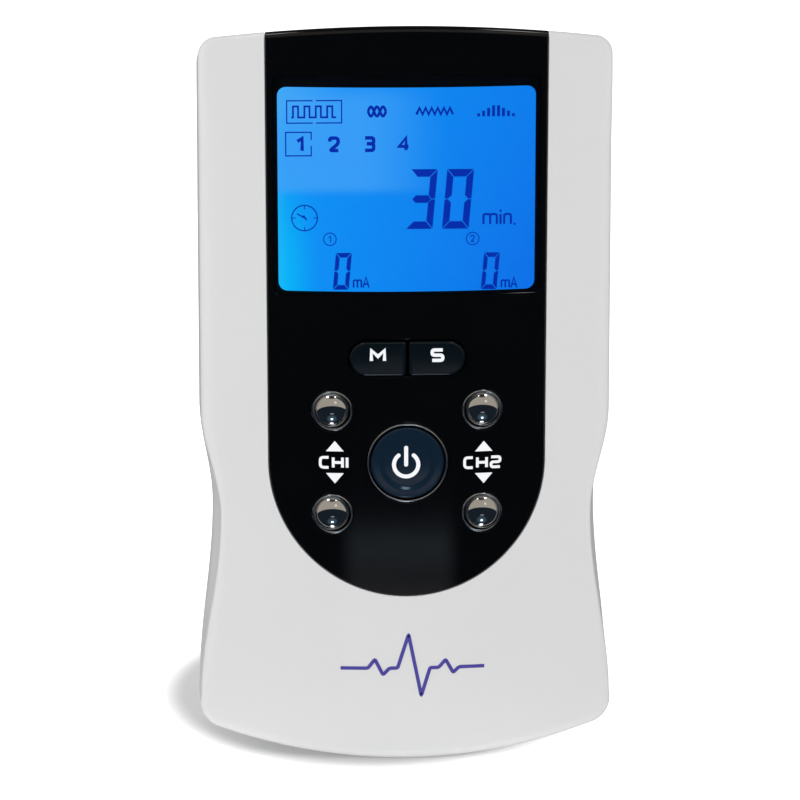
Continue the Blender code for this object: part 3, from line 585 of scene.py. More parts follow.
def display_look():
    """Edge-lit display: cyan by the lamps at the left, deeper blue to the lower right; a paler band over its
    upper part and a paler upper left corner are a painted reflection.
    """
    look = bpy.data.materials.new("lcd_glass")
    graph = Graph(look)
    parts = graph.add("SeparateXYZ", {0: graph.place}).outputs
    wide, tall = parts["X"], parts["Z"]

    def span(source, low, high, smooth=True):
        return graph.ramp(source, low * MM, high * MM, smooth=smooth)

    right = graph.blend(span(tall, 84.0, 114.0, False), (0.003, 0.182, 0.86), (0.003, 0.226, 0.90))
    base = graph.blend(span(wide, -20.0, 20.0, False), (0.003, 0.318, 0.985), right)
    for strength, colour, *spans in (
        (0.95, (0.0, 0.560, 1.0), (wide, -14.0, -22.5), (tall, 108.0, 84.0)),
        (0.55, (0.02, 0.52, 1.0), (wide, -19.5, -22.0)),
        # Painted reflection: a paler band over the upper part of the window, stronger to the left.
        (0.75, (0.058, 0.400, 1.0), (wide, 8.0, -9.0), (tall, 97.8, 100.0), (tall, 119.0, 113.0)),
        # Painted reflection: a paler patch in the upper left corner.
        (0.6, (0.085, 0.47, 1.0), (wide, -9.0, -22.0), (tall, 106.0, 117.0)),
    ):
        amount = span(*spans[0])
        for more in spans[1:]:
            amount = graph.times(amount, span(*more))
        base = graph.blend(graph.times(amount, strength), base, colour)
    base = graph.blend(graph.times(graph.noise(500.0, 3.0), 0.06), base, (0.05, 0.30, 1.0))
    graph.own("Principled BSDF", {
        "Base Color": (0.001, 0.004, 0.02),
        "Roughness": 0.35,
        "Specular IOR Level": 0.05,
        "Emission Color": base,
        "Emission Strength": 1.0,
    })
    return look


def segment_look():
    """Dark blue liquid crystal with a little light bleeding through it."""
    look = finish("lcd_segment", (0.001, 0.004, 0.04), 0.5, grain=700.0)
    graph = Graph(look)
    glow = graph.blend(graph.noise(300.0, 2.0), (0.0, 0.020, 0.37), (0.001, 0.032, 0.45))
    inputs = {"Emission Color": glow, "Emission Strength": 1.0, "Specular IOR Level": 0.05}
    graph.own("Principled BSDF", inputs)
    return look


def lens_look():
    """Clear polished window: what is behind shows through, and the surface mirrors at a slant."""
    look = bpy.data.materials.new("lens")
    graph = Graph(look, None)
    graph.tree.nodes.remove(graph.tree.nodes["Principled BSDF"])
    rough = graph.ramp(graph.noise(120.0, 4.0), 0.0, 1.0, 0.02, 0.05, smooth=False)
    mirrored = graph.add("Fresnel", {"IOR": 1.49}).outputs[0]
    clear = graph.add("BsdfTransparent", {"Color": (0.97, 0.985, 1.0)}).outputs[0]
    gloss = graph.add("BsdfGlossy", {"Roughness": rough}).outputs[0]
    mix = graph.add("MixShader", {0: mirrored, 1: clear, 2: gloss})
    graph.own("Material Output", {"Surface": mix.outputs[0]})
    return look


LOOKS = {
    "shell": finish("white_shell", (0.655, 0.655, 0.658), 0.30, mottle=0.012, spread=0.05, bump=0.004,
                    coat=0.25),
    "door": finish("white_door", (0.68, 0.68, 0.685), 0.33, mottle=0.012, spread=0.05, bump=0.006, coat=0.1),
    "clip": finish("white_clip", (0.67, 0.67, 0.68), 0.36, mottle=0.015, spread=0.05, bump=0.01),
    "bay": finish("white_bay", (0.68, 0.68, 0.69), 0.45, mottle=0.02, bump=0.01),
    "panel": finish("black_gloss", (0.0014, 0.0015, 0.0019), 0.03, mottle=0.2, spread=0.01, bump=0.0008,
                    bump_scale=400.0, smudge=0.05),
    "mask": finish("lens_mask", (0.0015, 0.0015, 0.002), 0.6, mottle=0.2),
    "lens": lens_look(),
    "key": finish("slate_key", (0.0016, 0.0050, 0.0075), 0.16, mottle=0.1, spread=0.03, bump=0.002),
    "power_key": finish("navy_key", (0.0045, 0.0132, 0.0265), 0.10, mottle=0.1, spread=0.03, bump=0.001),
    "chrome": finish("chrome", (0.90, 0.88, 0.85), 0.04, 1.0, mottle=0.03, spread=0.02, bump=0.0005),
    "ring": finish("chrome_ring", (0.96, 0.955, 0.94), 0.18, 1.0, mottle=0.05, spread=0.04, bump=0.001),
    "white_print": finish("white_print", (0.86, 0.87, 0.90), 0.55, mottle=0.03, bump=0.003),
    "blue_print": finish("violet_print", (0.055, 0.04, 0.32), 0.5, mottle=0.06, bump=0.003),
    "lcd": display_look(),
    "segment": segment_look(),
    "switch": finish("black_plastic", (0.018, 0.018, 0.019), 0.45, mottle=0.1, bump=0.01),
    "plunger": finish("plunger", (0.45, 0.38, 0.25), 0.5, mottle=0.05),
    "board": finish("board_green", (0.015, 0.13, 0.05), 0.4, mottle=0.15, bump=0.01),
    "backlight": finish("backlight", (0.6, 0.8, 1.0), 0.35, mottle=0.02),
    "rubber": finish("zebra", (0.04, 0.04, 0.045), 0.8, mottle=0.3, grain=4000.0),
    "chip": finish("chip", (0.012, 0.012, 0.013), 0.5, mottle=0.15, bump=0.006),
    "ferrite": finish("ferrite", (0.035, 0.033, 0.032), 0.65, mottle=0.25, bump=0.02),
    "can": finish("can", (0.62, 0.63, 0.65), 0.3, 1.0, mottle=0.04),
    "cell": finish("cell_wrap", (0.03, 0.07, 0.20), 0.3, mottle=0.08, bump=0.003),
    "cell_band": finish("cell_band", (0.52, 0.36, 0.12), 0.25, 0.6, mottle=0.06),
    "spring": finish("spring_steel", (0.6, 0.6, 0.62), 0.22, 1.0, mottle=0.06, bump=0.003),
    "screw": finish("screw_steel", (0.42, 0.42, 0.43), 0.32, 1.0, mottle=0.08, bump=0.004),
}


def mount(piece, body, slot_name, *nodes):
    """Puts a finished piece on its body in place of the CAD nodes it stands for."""
    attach(piece, body)
    if nodes:
        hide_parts(*nodes)


def placed(name, form, look, body, slot_name, *nodes):
    """Makes a piece from one form and mounts it."""
    mount(make_object(name, *form, LOOKS[look]), body, slot_name, *nodes)


# Housing pieces


def panel_outline(grow):
    """Straight-sided tongue with a half-round lower end, open to the top."""
    half = PANEL_HALF + grow
    rise = [PANEL_CENTRE_Z + (PANEL_END - PANEL_CENTRE_Z) * k / 6 for k in range(1, 7)]
    across = [(half - 2 * half * k / 24, PANEL_END) for k in range(1, 24)]
    right = [(half, z) for z in rise]
    left = [(-half, z) for z in reversed(rise)]
    return arc(0.0, PANEL_CENTRE_Z, half, 180.0, 360.0, 96) + right + across + left


def sunk(shape, steps, end_y):
    """A cut through the front: shape(grow) outlines at depths below the crown, then straight to end_y."""
    loops = [[(x, TOOL_FRONT, z) for x, z in shape(steps[0][0])]]
    for grow, depth in steps:
        loops.append([(x, crown(x) + depth, z) for x, z in shape(grow)])
    loops.append([(x, end_y, z) for x, z in shape(steps[-1][0])])
    return bridge(loops)


def lip(radius, steps=5, lead=0.15):
    """Steps of a cut that rounds the mouth of a hole, from above the surface to the bore."""
    start = math.radians(18)
    first = radius * (1 - math.cos(start))
    rows = [(radius * (1 - math.sin(start)) + lead / math.tan(start), -lead)]
    for k in range(steps + 1):
        angle = start + (math.pi / 2 - start) * k / steps
        rows.append((radius * (1 - math.sin(angle)), radius * (1 - math.cos(angle)) - first))
    return rows


TOOL_FRONT = -20.0
PANEL_HALF = 23.45
PANEL_END = HEIGHT + 10
PANEL_BACK = -7.5
SEAT_GAP = 0.12
lens_low, lens_high = low_high("display_lens")
LENS_SINK = 0.2
LENS_THICK = 1.1
KEY_RADIUS = 2.875
KEY_BEND = 9.7 - KEY_RADIUS
SOCKET_BORE = 2.8
TOP_BORE_Z = (115.0, 131.0)
SIDE_BORE_X = (31.0, 38.0)
BELOW_FOOT = block((-40, -20, -5), (40, 20, 0))
WINDOW_HALF = 21.55
WINDOW_LOW = lens_low.z + 0.33
WINDOW_HIGH = lens_high.z - 2.05
WINDOW_RADIUS = 1.5
LENS_RADIUS = 0.8
FIT = 0.06


def front_shell():
    shell, smooth = housing_half("shell_front", front_rib, 44, LOOKS["shell"])
    steps = [(SEAT_GAP + 0.62, -0.5), (SEAT_GAP, 0.12)]
    forms = [sunk(panel_outline, steps, PANEL_BACK + GAP), BELOW_FOOT]
    for name in ("output_jack_ch1", "output_jack_ch2"):
        centre = mid(name)
        bore = [(SOCKET_BORE, z) for z in TOP_BORE_Z]
        forms.append(turned((centre.x, centre.y, 0.0), "Z", bore, 48))
    centre = mid("dc_jack")
    bore = [(SOCKET_BORE, x) for x in SIDE_BORE_X]
    forms.append(turned((0.0, centre.y, centre.z), "X", bore, 48))
    change(shell, together(forms))
    complete(shell, smooth, "housing", "white_shell", "front_shell")


def pill(grow):
    """Opening round both rocker keys."""
    z = mid("button_mode").z
    radius = KEY_RADIUS + GAP - 0.08 + grow
    right = arc(KEY_BEND, z, radius, -90, 90, 24)
    left = arc(-KEY_BEND, z, radius, 90, 270, 24)
    top = [(KEY_BEND - 2 * KEY_BEND * k / 16, z + radius) for k in range(1, 16)]
    bottom = [(-KEY_BEND + 2 * KEY_BEND * k / 16, z - radius) for k in range(1, 16)]
    return right + top + left + bottom


def hole(centre, radius):
    turn = [2 * math.pi * (k + 0.5) / 72 for k in range(72)]

    def shape(grow):
        reach = radius + grow
        return [(centre.x + reach * math.cos(a), centre.z + reach * math.sin(a)) for a in turn]

    return shape


def lens_shape(half, low_z, high_z, radius):
    def shape(grow):
        return rounded_box(half + grow, low_z - grow, high_z + grow, radius + grow)

    return shape


DOMES = ("ch1_up", "ch1_down", "ch2_up", "ch2_down")
POWER_HOLE = 6.92
DOME_HOLE = 3.5
THROUGH = -5.0


def front_panel():
    panel, smooth = housing_half("panel_front", front_rib, 60, LOOKS["panel"])
    steps = [(-0.62, -0.5), (0.0, 0.12)]
    change(panel, sunk(panel_outline, steps, PANEL_BACK), "INTERSECT")
    floor = LENS_SINK + LENS_THICK + 0.1
    bed = lens_shape(lens_high.x + FIT, lens_low.z - FIT, lens_high.z + FIT, LENS_RADIUS)
    window = [(0.3, -0.3), (0.0, 0.06), (0.0, floor), (-0.2, floor)]
    forms = [sunk(bed, window, THROUGH), sunk(pill, lip(0.35), THROUGH)]
    forms.append(sunk(hole(mid("button_power"), POWER_HOLE), lip(0.3), THROUGH))
    for name in DOMES:
        forms.append(sunk(hole(mid("button_" + name), DOME_HOLE), lip(0.25), THROUGH))
    change(panel, together(forms))
    complete(panel, smooth, "housing", "black_gloss", "front_panel")


def display_lens():
    outer = lens_shape(lens_high.x, lens_low.z, lens_high.z, LENS_RADIUS)
    edge = 0.12
    rows = [(-edge, LENS_SINK), (0.0, LENS_SINK + edge), (0.0, LENS_SINK + LENS_THICK)]
    loops = [[(x, crown(x) + depth, z) for x, z in outer(grow)] for grow, depth in rows]
    placed("display_window", lids(loops), "lens", "housing", "lens", "display_lens")
    inner = lens_shape(WINDOW_HALF, WINDOW_LOW, WINDOW_HIGH, WINDOW_RADIUS)
    front, back = LENS_SINK + LENS_THICK + 0.01, LENS_SINK + LENS_THICK + 0.09
    loops = []
    for shape, depth in ((outer, front), (inner, front), (inner, back), (outer, back)):
        loops.append([(x, crown(x) + depth, z) for x, z in shape(0.0)])
    placed("display_mask", bridge(loops, ring=True), "mask", "housing", "black_gloss")


def lids(loops):
    """Closes crowned loops with lids that follow the crown instead of one flat face."""
    points, faces = bridge(loops)
    faces = faces[:-2]
    count = len(loops[0])
    for first in (0, len(points) - count):
        ring = points[first : first + count]
        middle = sum(point[2] for point in ring) / count
        order = sorted(range(count), key=lambda k: ring[k][0])
        lower = [first + k for k in order if ring[k][2] < middle]
        upper = [first + k for k in order if ring[k][2] >= middle]
        faces += zip(lower, lower[1:], upper[1:], upper)
    return points, faces


front_shell()
front_panel()
display_lens()


# Rear pieces


def ear_outline(pin):
    """Side view (y, z) of an ear round the hinge pin, rooted in the housing's back."""
    root = UPPER_BACK - 1.0
    nose = arc(pin.y, pin.z, EAR_RADIUS, -90, 90, 24)
    return [(root, pin.z - EAR_RADIUS)] + nose + [(root, pin.z + EAR_RADIUS)]


def pulled(shape, ends):
    """A side view (y, z) pulled along X through ends: (x, how far the outline moves in)."""
    return bridge([[(x, y, z) for y, z in shrunk(shape, inset)] for x, inset in ends])


def soft_extrusion(shape, low_x, high_x, radius, steps=4):
    """A side view pulled along X with rounded rims."""
    turn = [math.pi / 2 * k / steps for k in range(steps + 1)]
    rims = [(radius * (1 - math.cos(angle)), radius * (1 - math.sin(angle))) for angle in turn]
    ends = [(low_x + along, inset) for along, inset in rims]
    return pulled(shape, ends + [(high_x - along, inset) for along, inset in reversed(rims)])


def both_sides(near, far):
    """Spans of x from near to far on the left and on the right."""
    return (-far, -near), (near, far)


def mitres(path, closed, least):
    """Gives each point of a path with the direction to its left and how far a corner stretches it."""
    count = len(path)
    for k, point in enumerate(path):
        here = Vector(point)
        before = Vector(path[k - 1]) if closed or k else here
        after = Vector(path[(k + 1) % count]) if closed or k < count - 1 else here
        first = (here - before).normalized() if before != here else (after - here).normalized()
        second = (after - here).normalized() if after != here else first
        square = Vector((-first.y, first.x))
        across = Vector((-first.y - second.y, first.x + second.x))
        across = across.normalized() if across.length > TINY else square
        yield here, across, 1.0 / max(across.dot(square), least)


def shrunk(shape, inset):
    """An outline moved in by inset."""
    area = sum(a[0] * b[1] - b[0] * a[1] for a, b in zip(shape, shape[1:] + shape[:1]))
    sign = math.copysign(1.0, area)
    return [tuple(here + across * sign * inset * stretch) for here, across, stretch in mitres(shape, True, 0.5)]


pin_mid = mid("clip_pin")
door_low, door_high = low_high("battery_door")
SCREWS = [f"screw_{k}" for k in (1, 2, 3, 4)]
SCREW_POST = [(3.2, 3.4), (3.2, 6.2)]
SCREW_WELL = [(1.4, 1.0), (1.4, 5.1), (2.7, 5.1), (2.7, 7.05), (3.25, 7.6)]
EAR_SPAN = (6.9, 9.3)
EAR_RADIUS = 2.6
DOOR_SEAT_Y = 11.4
PAST_BACK = 20.0


def at_screws(profile):
    """The same turned form at each screw."""
    places = [mid(name) for name in SCREWS]
    return [turned((place.x, 0.0, place.z), "Y", profile, 40) for place in places]


def rear_shell():
    shell, smooth = housing_half("shell_rear", back_rib, 8, LOOKS["shell"])
    forms = [soft_extrusion(ear_outline(pin_mid), *edges, 0.25) for edges in both_sides(*EAR_SPAN)]
    change(shell, together(forms + at_screws(SCREW_POST)), "UNION")
    change(shell, BELOW_FOOT)
    reach = door_high.x + GAP - 0.12
    forms = [block((-reach, DOOR_SEAT_Y, -5), (reach, PAST_BACK, door_high.z + GAP - 0.12))]
    forms.append(turned((0.0, pin_mid.y, pin_mid.z), "X", [(0.95, -12), (0.95, 12)], 40))
    change(shell, together(forms + at_screws(SCREW_WELL)))
    complete(shell, smooth, "housing", "white_shell", "rear_shell")


rear_shell()

BAY_HALF = 28.2
BAY_SIDE = 2.0
BAY_LOW = 8.0
BAY_HIGH = 64.0
BAY_FLOOR = -3.1
BAY_UNDER = -4.3
BAY_RIM = 11.35
LEDGE_UNDER = 9.6
BAY_WALL = 1.4
CELL_PITCH = 14.0
RISE_TOP = -0.6


def battery_bay():
    """Tray for four cells, with its rims and the ledges that carry the door."""
    low, high = BAY_LOW - BAY_WALL, BAY_HIGH + BAY_WALL
    spans = both_sides(BAY_HALF, BAY_HALF + BAY_SIDE)
    forms = [block((left, BAY_UNDER, low), (right, BAY_RIM, high)) for left, right in spans]
    forms.append(block((-BAY_HALF, BAY_UNDER, low), (BAY_HALF, BAY_FLOOR, high)))
    for start, end in ((low, BAY_LOW), (BAY_HIGH, high)):
        forms.append(block((-BAY_HALF, BAY_FLOOR, start), (BAY_HALF, BAY_RIM, end)))
    curve = [BAY_HALF * (k / 8 - 1) for k in range(17)]
    apron = [(x, 1.0 + end_arc(x, FOOT_RADIUS)) for x in curve] + [(BAY_HALF, low), (-BAY_HALF, low)]
    forms.append(prism(apron, "Y", (LEDGE_UNDER, BAY_RIM)))
    forms.append(block((-BAY_HALF, LEDGE_UNDER, high), (BAY_HALF, BAY_RIM, BAY_HIGH + 4.0)))
    placed("battery_bay", together(forms), "bay", "housing", "white_shell")
    forms = []
    for k in range(3):
        x = CELL_PITCH * (k - 1)
        rise = [(x - 1.5, BAY_FLOOR), (x + 1.5, BAY_FLOOR), (x + 0.35, RISE_TOP), (x - 0.35, RISE_TOP)]
        forms.append(prism(rise, "Z", (BAY_LOW + 4, BAY_HIGH - 4)))
    placed("cell_cradle", together(forms), "bay", "housing", "white_shell")


battery_bay()


def battery_door():
    door, smooth = housing_half("door_slide", back_rib, 8, LOOKS["door"], hollow=False)
    shape = block((-door_high.x, door_low.y, door_low.z), (door_high.x, PAST_BACK, door_high.z))
    change(door, shape, "INTERSECT")
    forms = []
    for k in range(3):
        groove = arc(BACK_DEPTH + 0.25, 52.7 + 3.5 * k, 0.85, 0, 360, 24)[:-1]
        forms.append(prism(groove, "X", (-9.0, 9.0)))
    arrow = [(-2.2, 44.6), (2.2, 44.6), (0.0, 41.6)]
    forms.append(prism(arrow, "Y", (BACK_DEPTH - 0.35, BACK_DEPTH + 1)))
    change(door, together(forms))
    complete(door, smooth, "door", "white_door", "battery_door")


battery_door()

CLIP_INNER = 11.9
CLIP_CURL = 4.2
CLIP_TIP = 80.7
CLIP_TOP = 118.0
CLIP_HALF = 9.0
KNUCKLE_HALF = 6.6
KNUCKLE_RADIUS = 2.4


def clip_side():
    """Side view of the clip as (y, z): thumb end, straight arm, tip curled to the housing."""
    middle = BACK_DEPTH - CLIP_CURL
    tip = arc(middle, CLIP_TIP, CLIP_CURL, 0, -90, 18)
    hook = arc(middle, CLIP_TIP, CLIP_CURL - (BACK_DEPTH - CLIP_INNER), -90, 0, 14)
    toe = [(UPPER_BACK + 1.0, 76.4), (UPPER_BACK + GAP, 77.3), (UPPER_BACK + 1.0, 78.1)]
    head = [(CLIP_INNER, CLIP_TOP), (BACK_DEPTH - 0.7, CLIP_TOP)]
    head += [(BACK_DEPTH - 0.2, CLIP_TOP - 0.3), (BACK_DEPTH, CLIP_TOP - 0.8)]
    return head + tip + toe + hook


def belt_clip():
    clip = make_object("clip_arm", *soft_extrusion(clip_side(), -CLIP_HALF, CLIP_HALF, 0.4), LOOKS["clip"])
    low_z, high_z = pin_mid.z - 4.2, pin_mid.z + 4.2
    notches = both_sides(KNUCKLE_HALF, 10.0)
    forms = [block((low, 5, low_z), (high, PAST_BACK, high_z)) for low, high in notches]
    change(clip, together(forms))
    knuckle = [(KNUCKLE_RADIUS, -KNUCKLE_HALF), (KNUCKLE_RADIUS, KNUCKLE_HALF)]
    change(clip, turned(pin_mid, "X", knuckle, 48), "UNION")
    change(clip, block((-2.6, 5, pin_mid.z - 11), (2.6, 12.3, pin_mid.z + 3.2)))
    change(clip, turned(pin_mid, "X", [(1.2, -12), (1.2, 12)], 40))
    complete(clip, None, "clip", "white_clip", "belt_clip")
    ends = ((-6.4, 0.25), (-6.1, 0.0), (6.1, 0.0), (6.4, 0.25))
    ribs = [arc(BACK_DEPTH - 0.15, 113.2 + 1.15 * k, 0.38, -90, 90, 8) for k in range(4)]
    forms = together([pulled(rib, ends) for rib in ribs])
    placed("clip_thumb_ribs", forms, "clip", "clip", "white_clip")


belt_clip()


# Keys


KEY_CORNER = 0.45
KEY_SEAT = (-10.75, -10.0)
KEY_FLANGE = 0.7
STEM_X = 4.9
RIM_RISE = 0.32
RIM_RADIUS = 0.42


def rounded_top(edge_y, radius, rise, steps=6):
    """Profile of a cap's rounded rim: (inset, y) from the face's edge round to the side."""
    rows = []
    for k in range(steps + 1):
        angle = math.pi / 2 * (1 - k / steps)
        rows.append((radius * (1 - math.cos(angle)), edge_y - rise * math.sin(angle)))
    return rows


def key_outline(grow, side):
    """Half pill with small radii at its flat inner end."""
    z = mid("button_set").z
    radius = KEY_RADIUS + grow
    start = 0.25 - grow + KEY_CORNER
    low, high = z - radius + KEY_CORNER, z + radius - KEY_CORNER
    points = arc(start, low, KEY_CORNER, 180, 270, 6)
    points += [(start + (KEY_BEND - start) * k / 8, z - radius) for k in range(1, 8)]
    points += arc(KEY_BEND, z, radius, -90, 90, 32)
    points += [(KEY_BEND + (start - KEY_BEND) * k / 8, z + radius) for k in range(1, 8)]
    points += arc(start, high, KEY_CORNER, 90, 180, 6)
    return [(side * x, z) for x, z in points]


def rocker_key(name, side):
    low, high = low_high("button_" + name)
    rows = [(-inset, y) for inset, y in rounded_top(low.y + RIM_RISE, RIM_RADIUS, RIM_RISE)]
    rows += [(0.0, KEY_SEAT[0]), (KEY_FLANGE, KEY_SEAT[0]), (KEY_FLANGE, KEY_SEAT[1])]
    loops = [[(x, y, z) for x, z in key_outline(grow, side)] for grow, y in rows]
    middle = side * STEM_X
    centre = mid("button_" + name).z
    stem = [(middle + (x - middle) * 0.3, centre + (z - centre) * 0.5) for x, z in key_outline(0.0, side)]
    loops += [[(x, y, z) for x, z in stem] for y in (KEY_SEAT[1], high.y)]
    placed("key_" + name, bridge(loops), "key", "key_" + name, "slate_key", "button_" + name)


DISC_EDGE = 3.8
DISC_ROLL = 1.1
DISC_RISE = 0.28
KEY_FILLET = 0.45
DISC_RADIUS = 6.2
DISC_FLANGE = 6.8
DISC_SEAT = (-11.15, -10.4)


def power_key():
    low, high = low_high("button_power")
    centre = mid("button_power")
    face = low.y
    rows = [(0.4, face), (DISC_EDGE, face)]
    for k in range(1, 11):
        share = k / 10
        rows.append((DISC_EDGE + DISC_ROLL * share, face + DISC_RISE * share * share * (3 - 2 * share)))
    for k in range(9):
        angle = math.pi / 2 * k / 8
        reach = DISC_RADIUS - KEY_FILLET * (1 - math.sin(angle))
        rows.append((reach, face + DISC_RISE + KEY_FILLET * (1 - math.cos(angle))))
    rows += [(reach, DISC_SEAT[0]) for reach in (DISC_RADIUS, DISC_FLANGE)]
    rows += [(DISC_FLANGE, DISC_SEAT[1]), (1.5, DISC_SEAT[1]), (1.5, high.y)]
    form = turned((centre.x, 0.0, centre.z), "Y", rows, 96)
    placed("key_power_cap", form, "power_key", "key_power", "slate_key", "button_power")


RING_RISE = 0.15


def ring_form(node_name, inner, outer, tilt, deep):
    """Thin polished rim round a button: a rounded bead on a straight skirt."""
    centre = mid(node_name)
    half = (outer - inner) / 2
    rows = [(inner, deep)]
    for k in range(13):
        angle = math.pi * (1 - k / 12)
        rows.append((inner + half + half * math.cos(angle), -RING_RISE + half - half * math.sin(angle)))
    rows.append((outer, deep))
    return turned((centre.x, crown(centre.x), centre.z), "Y", rows, 96, True, tilt)


DOME_REACH = 3.0
DOME_SWEEP = 64.0
DOME_SEAT = -9.75
DOME_FLANGE = 3.4


def dome_key(name):
    low, high = low_high("button_" + name)
    centre = mid("button_" + name)
    radius = DOME_REACH / math.sin(math.radians(DOME_SWEEP))
    rows = []
    for k in range(25):
        angle = math.radians(1.5 + (DOME_SWEEP - 1.5) * k / 24)
        rows.append((radius * math.sin(angle), low.y + radius * (1 - math.cos(angle))))
    rows += [(DOME_REACH, DOME_SEAT), (DOME_FLANGE, DOME_SEAT), (DOME_FLANGE, high.y)]
    form = turned((centre.x, 0.0, centre.z), "Y", rows, 96)
    placed("dome_" + name, form, "chrome", "key_" + name, "chrome", "button_" + name)
    form = ring_form("ring_" + name, 3.09, 3.42, math.atan(2 * CROWN * centre.x), 1.5)
    placed("rim_" + name, form, "ring", "housing", "chrome", "ring_" + name)


rocker_key("mode", -1)
rocker_key("set", 1)
power_key()
for name in DOMES:
    dome_key(name)
placed("rim_power", ring_form("ring_power", 6.54, 6.84, 0.0, 1.6), "ring", "housing", "chrome", "ring_power")


# Printed marks and display segments


def eased(path, radius, steps=4):
    """A path with its inner corners rounded."""
    if radius <= 0 or len(path) < 3:
        return list(path)
    points = [path[0]]
    for before, here, after in zip(path, path[1:], path[2:]):
        a, b, c = Vector(before), Vector(here), Vector(after)
        cut_in = min(radius, (b - a).length / 2, (c - b).length / 2)
        start = b + (a - b).normalized() * cut_in
        end = b + (c - b).normalized() * cut_in
        for k in range(steps + 1):
            t = k / steps
            points.append(tuple(start * (1 - t) ** 2 + b * 2 * t * (1 - t) + end * t * t))
    points.append(path[-1])
    return points


def stroke(path, width, closed=False):
    """Left and right sides of a flat stroke along a path of (u, v)."""
    bends = list(mitres(path, closed, 0.6))
    return ([here + across * sign * width / 2 * stretch for here, across, stretch in bends] for sign in (1, -1))


def stroke_form(path, width, surface, closed=False, round_ends=False):
    """A closed thin solid for one stroke, laid on surface(u, v, lift)."""
    left, right = stroke(path, width, closed)
    if round_ends:
        bends = [math.radians(turn) for turn in (20, 40, 60, 80)]
        for end, inner in ((0, 1), (-1, -2)):
            middle = (left[end] + right[end]) / 2
            half = (left[end] - right[end]) / 2
            ahead = (Vector(path[end]) - Vector(path[inner])).normalized() * half.length
            spots = [(middle + ahead * math.sin(bend), half * math.cos(bend)) for bend in bends]
            over, under = [a + b for a, b in spots], [a - b for a, b in spots]
            if end == 0:
                left, right = over[::-1] + left, under[::-1] + right
            else:
                left, right = left + over, right + under
    loops = []
    for a, b in zip(left, right):
        loops.append([surface(*a, 1), surface(*b, 1), surface(*b, 0), surface(*a, 0)])
    return bridge(loops, closed)


def bar_form(start, end, width, surface):
    """One straight stroke."""
    return stroke_form([start, end], width, surface)


def plate_form(shape, surface):
    """A closed thin solid over a polygon of (u, v)."""
    return bridge([[surface(u, v, lift) for u, v in shape] for lift in (0, 1)])


def on_crown(lift):
    return lambda u, v, up: (u, crown(u) + (0.03 if up == 0 else -lift), v)


def on_plane(y, lift):
    return lambda u, v, up: (u, y + (0.02 if up == 0 else -lift), v)


def circle(cx, cy, radius, count=40):
    return arc(cx, cy, radius, 0, 360, count)[:-1]


TECHNO = {
    "M": (0.92, [[(0, 0), (0, 1), (0.46, 0.42), (0.92, 1), (0.92, 0)]], 0.0),
    "S": (0.95, [[(0.95, 1), (0, 1), (0, 0.5), (0.95, 0.5), (0.95, 0), (0, 0)]], 0.24),
    "C": (0.72, [[(0.72, 1), (0, 1), (0, 0), (0.72, 0)]], 0.34),
    "H": (0.80, [[(0, 0), (0, 1)], [(0.8, 0), (0.8, 1)], [(0, 0.5), (0.8, 0.5)]], 0.0),
    "1": (0.0, [[(0, 0), (0, 1)]], 0.0),
    "2": (0.78, [[(0, 1), (0.78, 1), (0.78, 0.5), (0, 0.5), (0, 0), (0.78, 0)]], 0.22),
}
PLAIN = {
    "1": (0.34, [[(0.0, 0.74), (0.34, 1.0), (0.34, 0.0)]], 0.0),
    "2": (0.62, [[(0, 0.72), (0.02, 1.0), (0.6, 1.0), (0.62, 0.55), (0.0, 0.0), (0.62, 0.0)]], 0.24),
    "3": (0.62, [[(0, 1), (0.62, 1), (0.62, 0.53), (0.12, 0.53)],
                 [(0.3, 0.53), (0.62, 0.53), (0.62, 0), (0, 0)]], 0.2),
    "4": (0.66, [[(0.5, 0.0), (0.5, 1.0), (0.0, 0.3), (0.68, 0.3)]], 0.0),
    "m": (0.96, [[(0, 0), (0, 0.72)], [(0, 0.66), (0.12, 0.72), (0.48, 0.72), (0.48, 0)],
                 [(0.48, 0.66), (0.6, 0.72), (0.96, 0.72), (0.96, 0)]], 0.14),
    "i": (0.0, [[(0, 0), (0, 0.72)], [(0, 0.88), (0, 1.04)]], 0.0),
    "n": (0.48, [[(0, 0), (0, 0.72)], [(0, 0.66), (0.12, 0.72), (0.48, 0.72), (0.48, 0)]], 0.14),
    ".": (0.0, [[(0, -0.07), (0, 0.08)]], 0.0),
    "A": (0.72, [[(0, 0), (0.36, 1), (0.72, 0)], [(0.13, 0.33), (0.59, 0.33)]], 0.0),
}
LIFT_STEP = 0.004
PRINT_LIFT = 0.05


def lettering(text, font, height, weight, spacing, low, surface, wide=1.0):
    """Forms of a line of strokes whose lower left corner is low; height is over the strokes' middles."""
    forms = []
    x = low[0]
    for mark in text:
        width, paths, radius = font[mark]
        for path in paths:
            laid = [(x + u * height * wide, low[1] + v * height) for u, v in path]
            forms.append(stroke_form(eased(laid, radius * height), weight, surface))
        x += width * height * wide + spacing
    return forms


def printed(name, forms, look, body, slot_name):
    """Strokes that cross lie at slightly different heights, so that no two faces share a plane."""
    laid = []
    for number, (points, faces) in enumerate(forms):
        lift = Vector((0.0, -LIFT_STEP * (number % 7), 0.0))
        laid.append(([Vector(point) + lift for point in points], faces))
    placed(name, together(laid), look, body, slot_name)


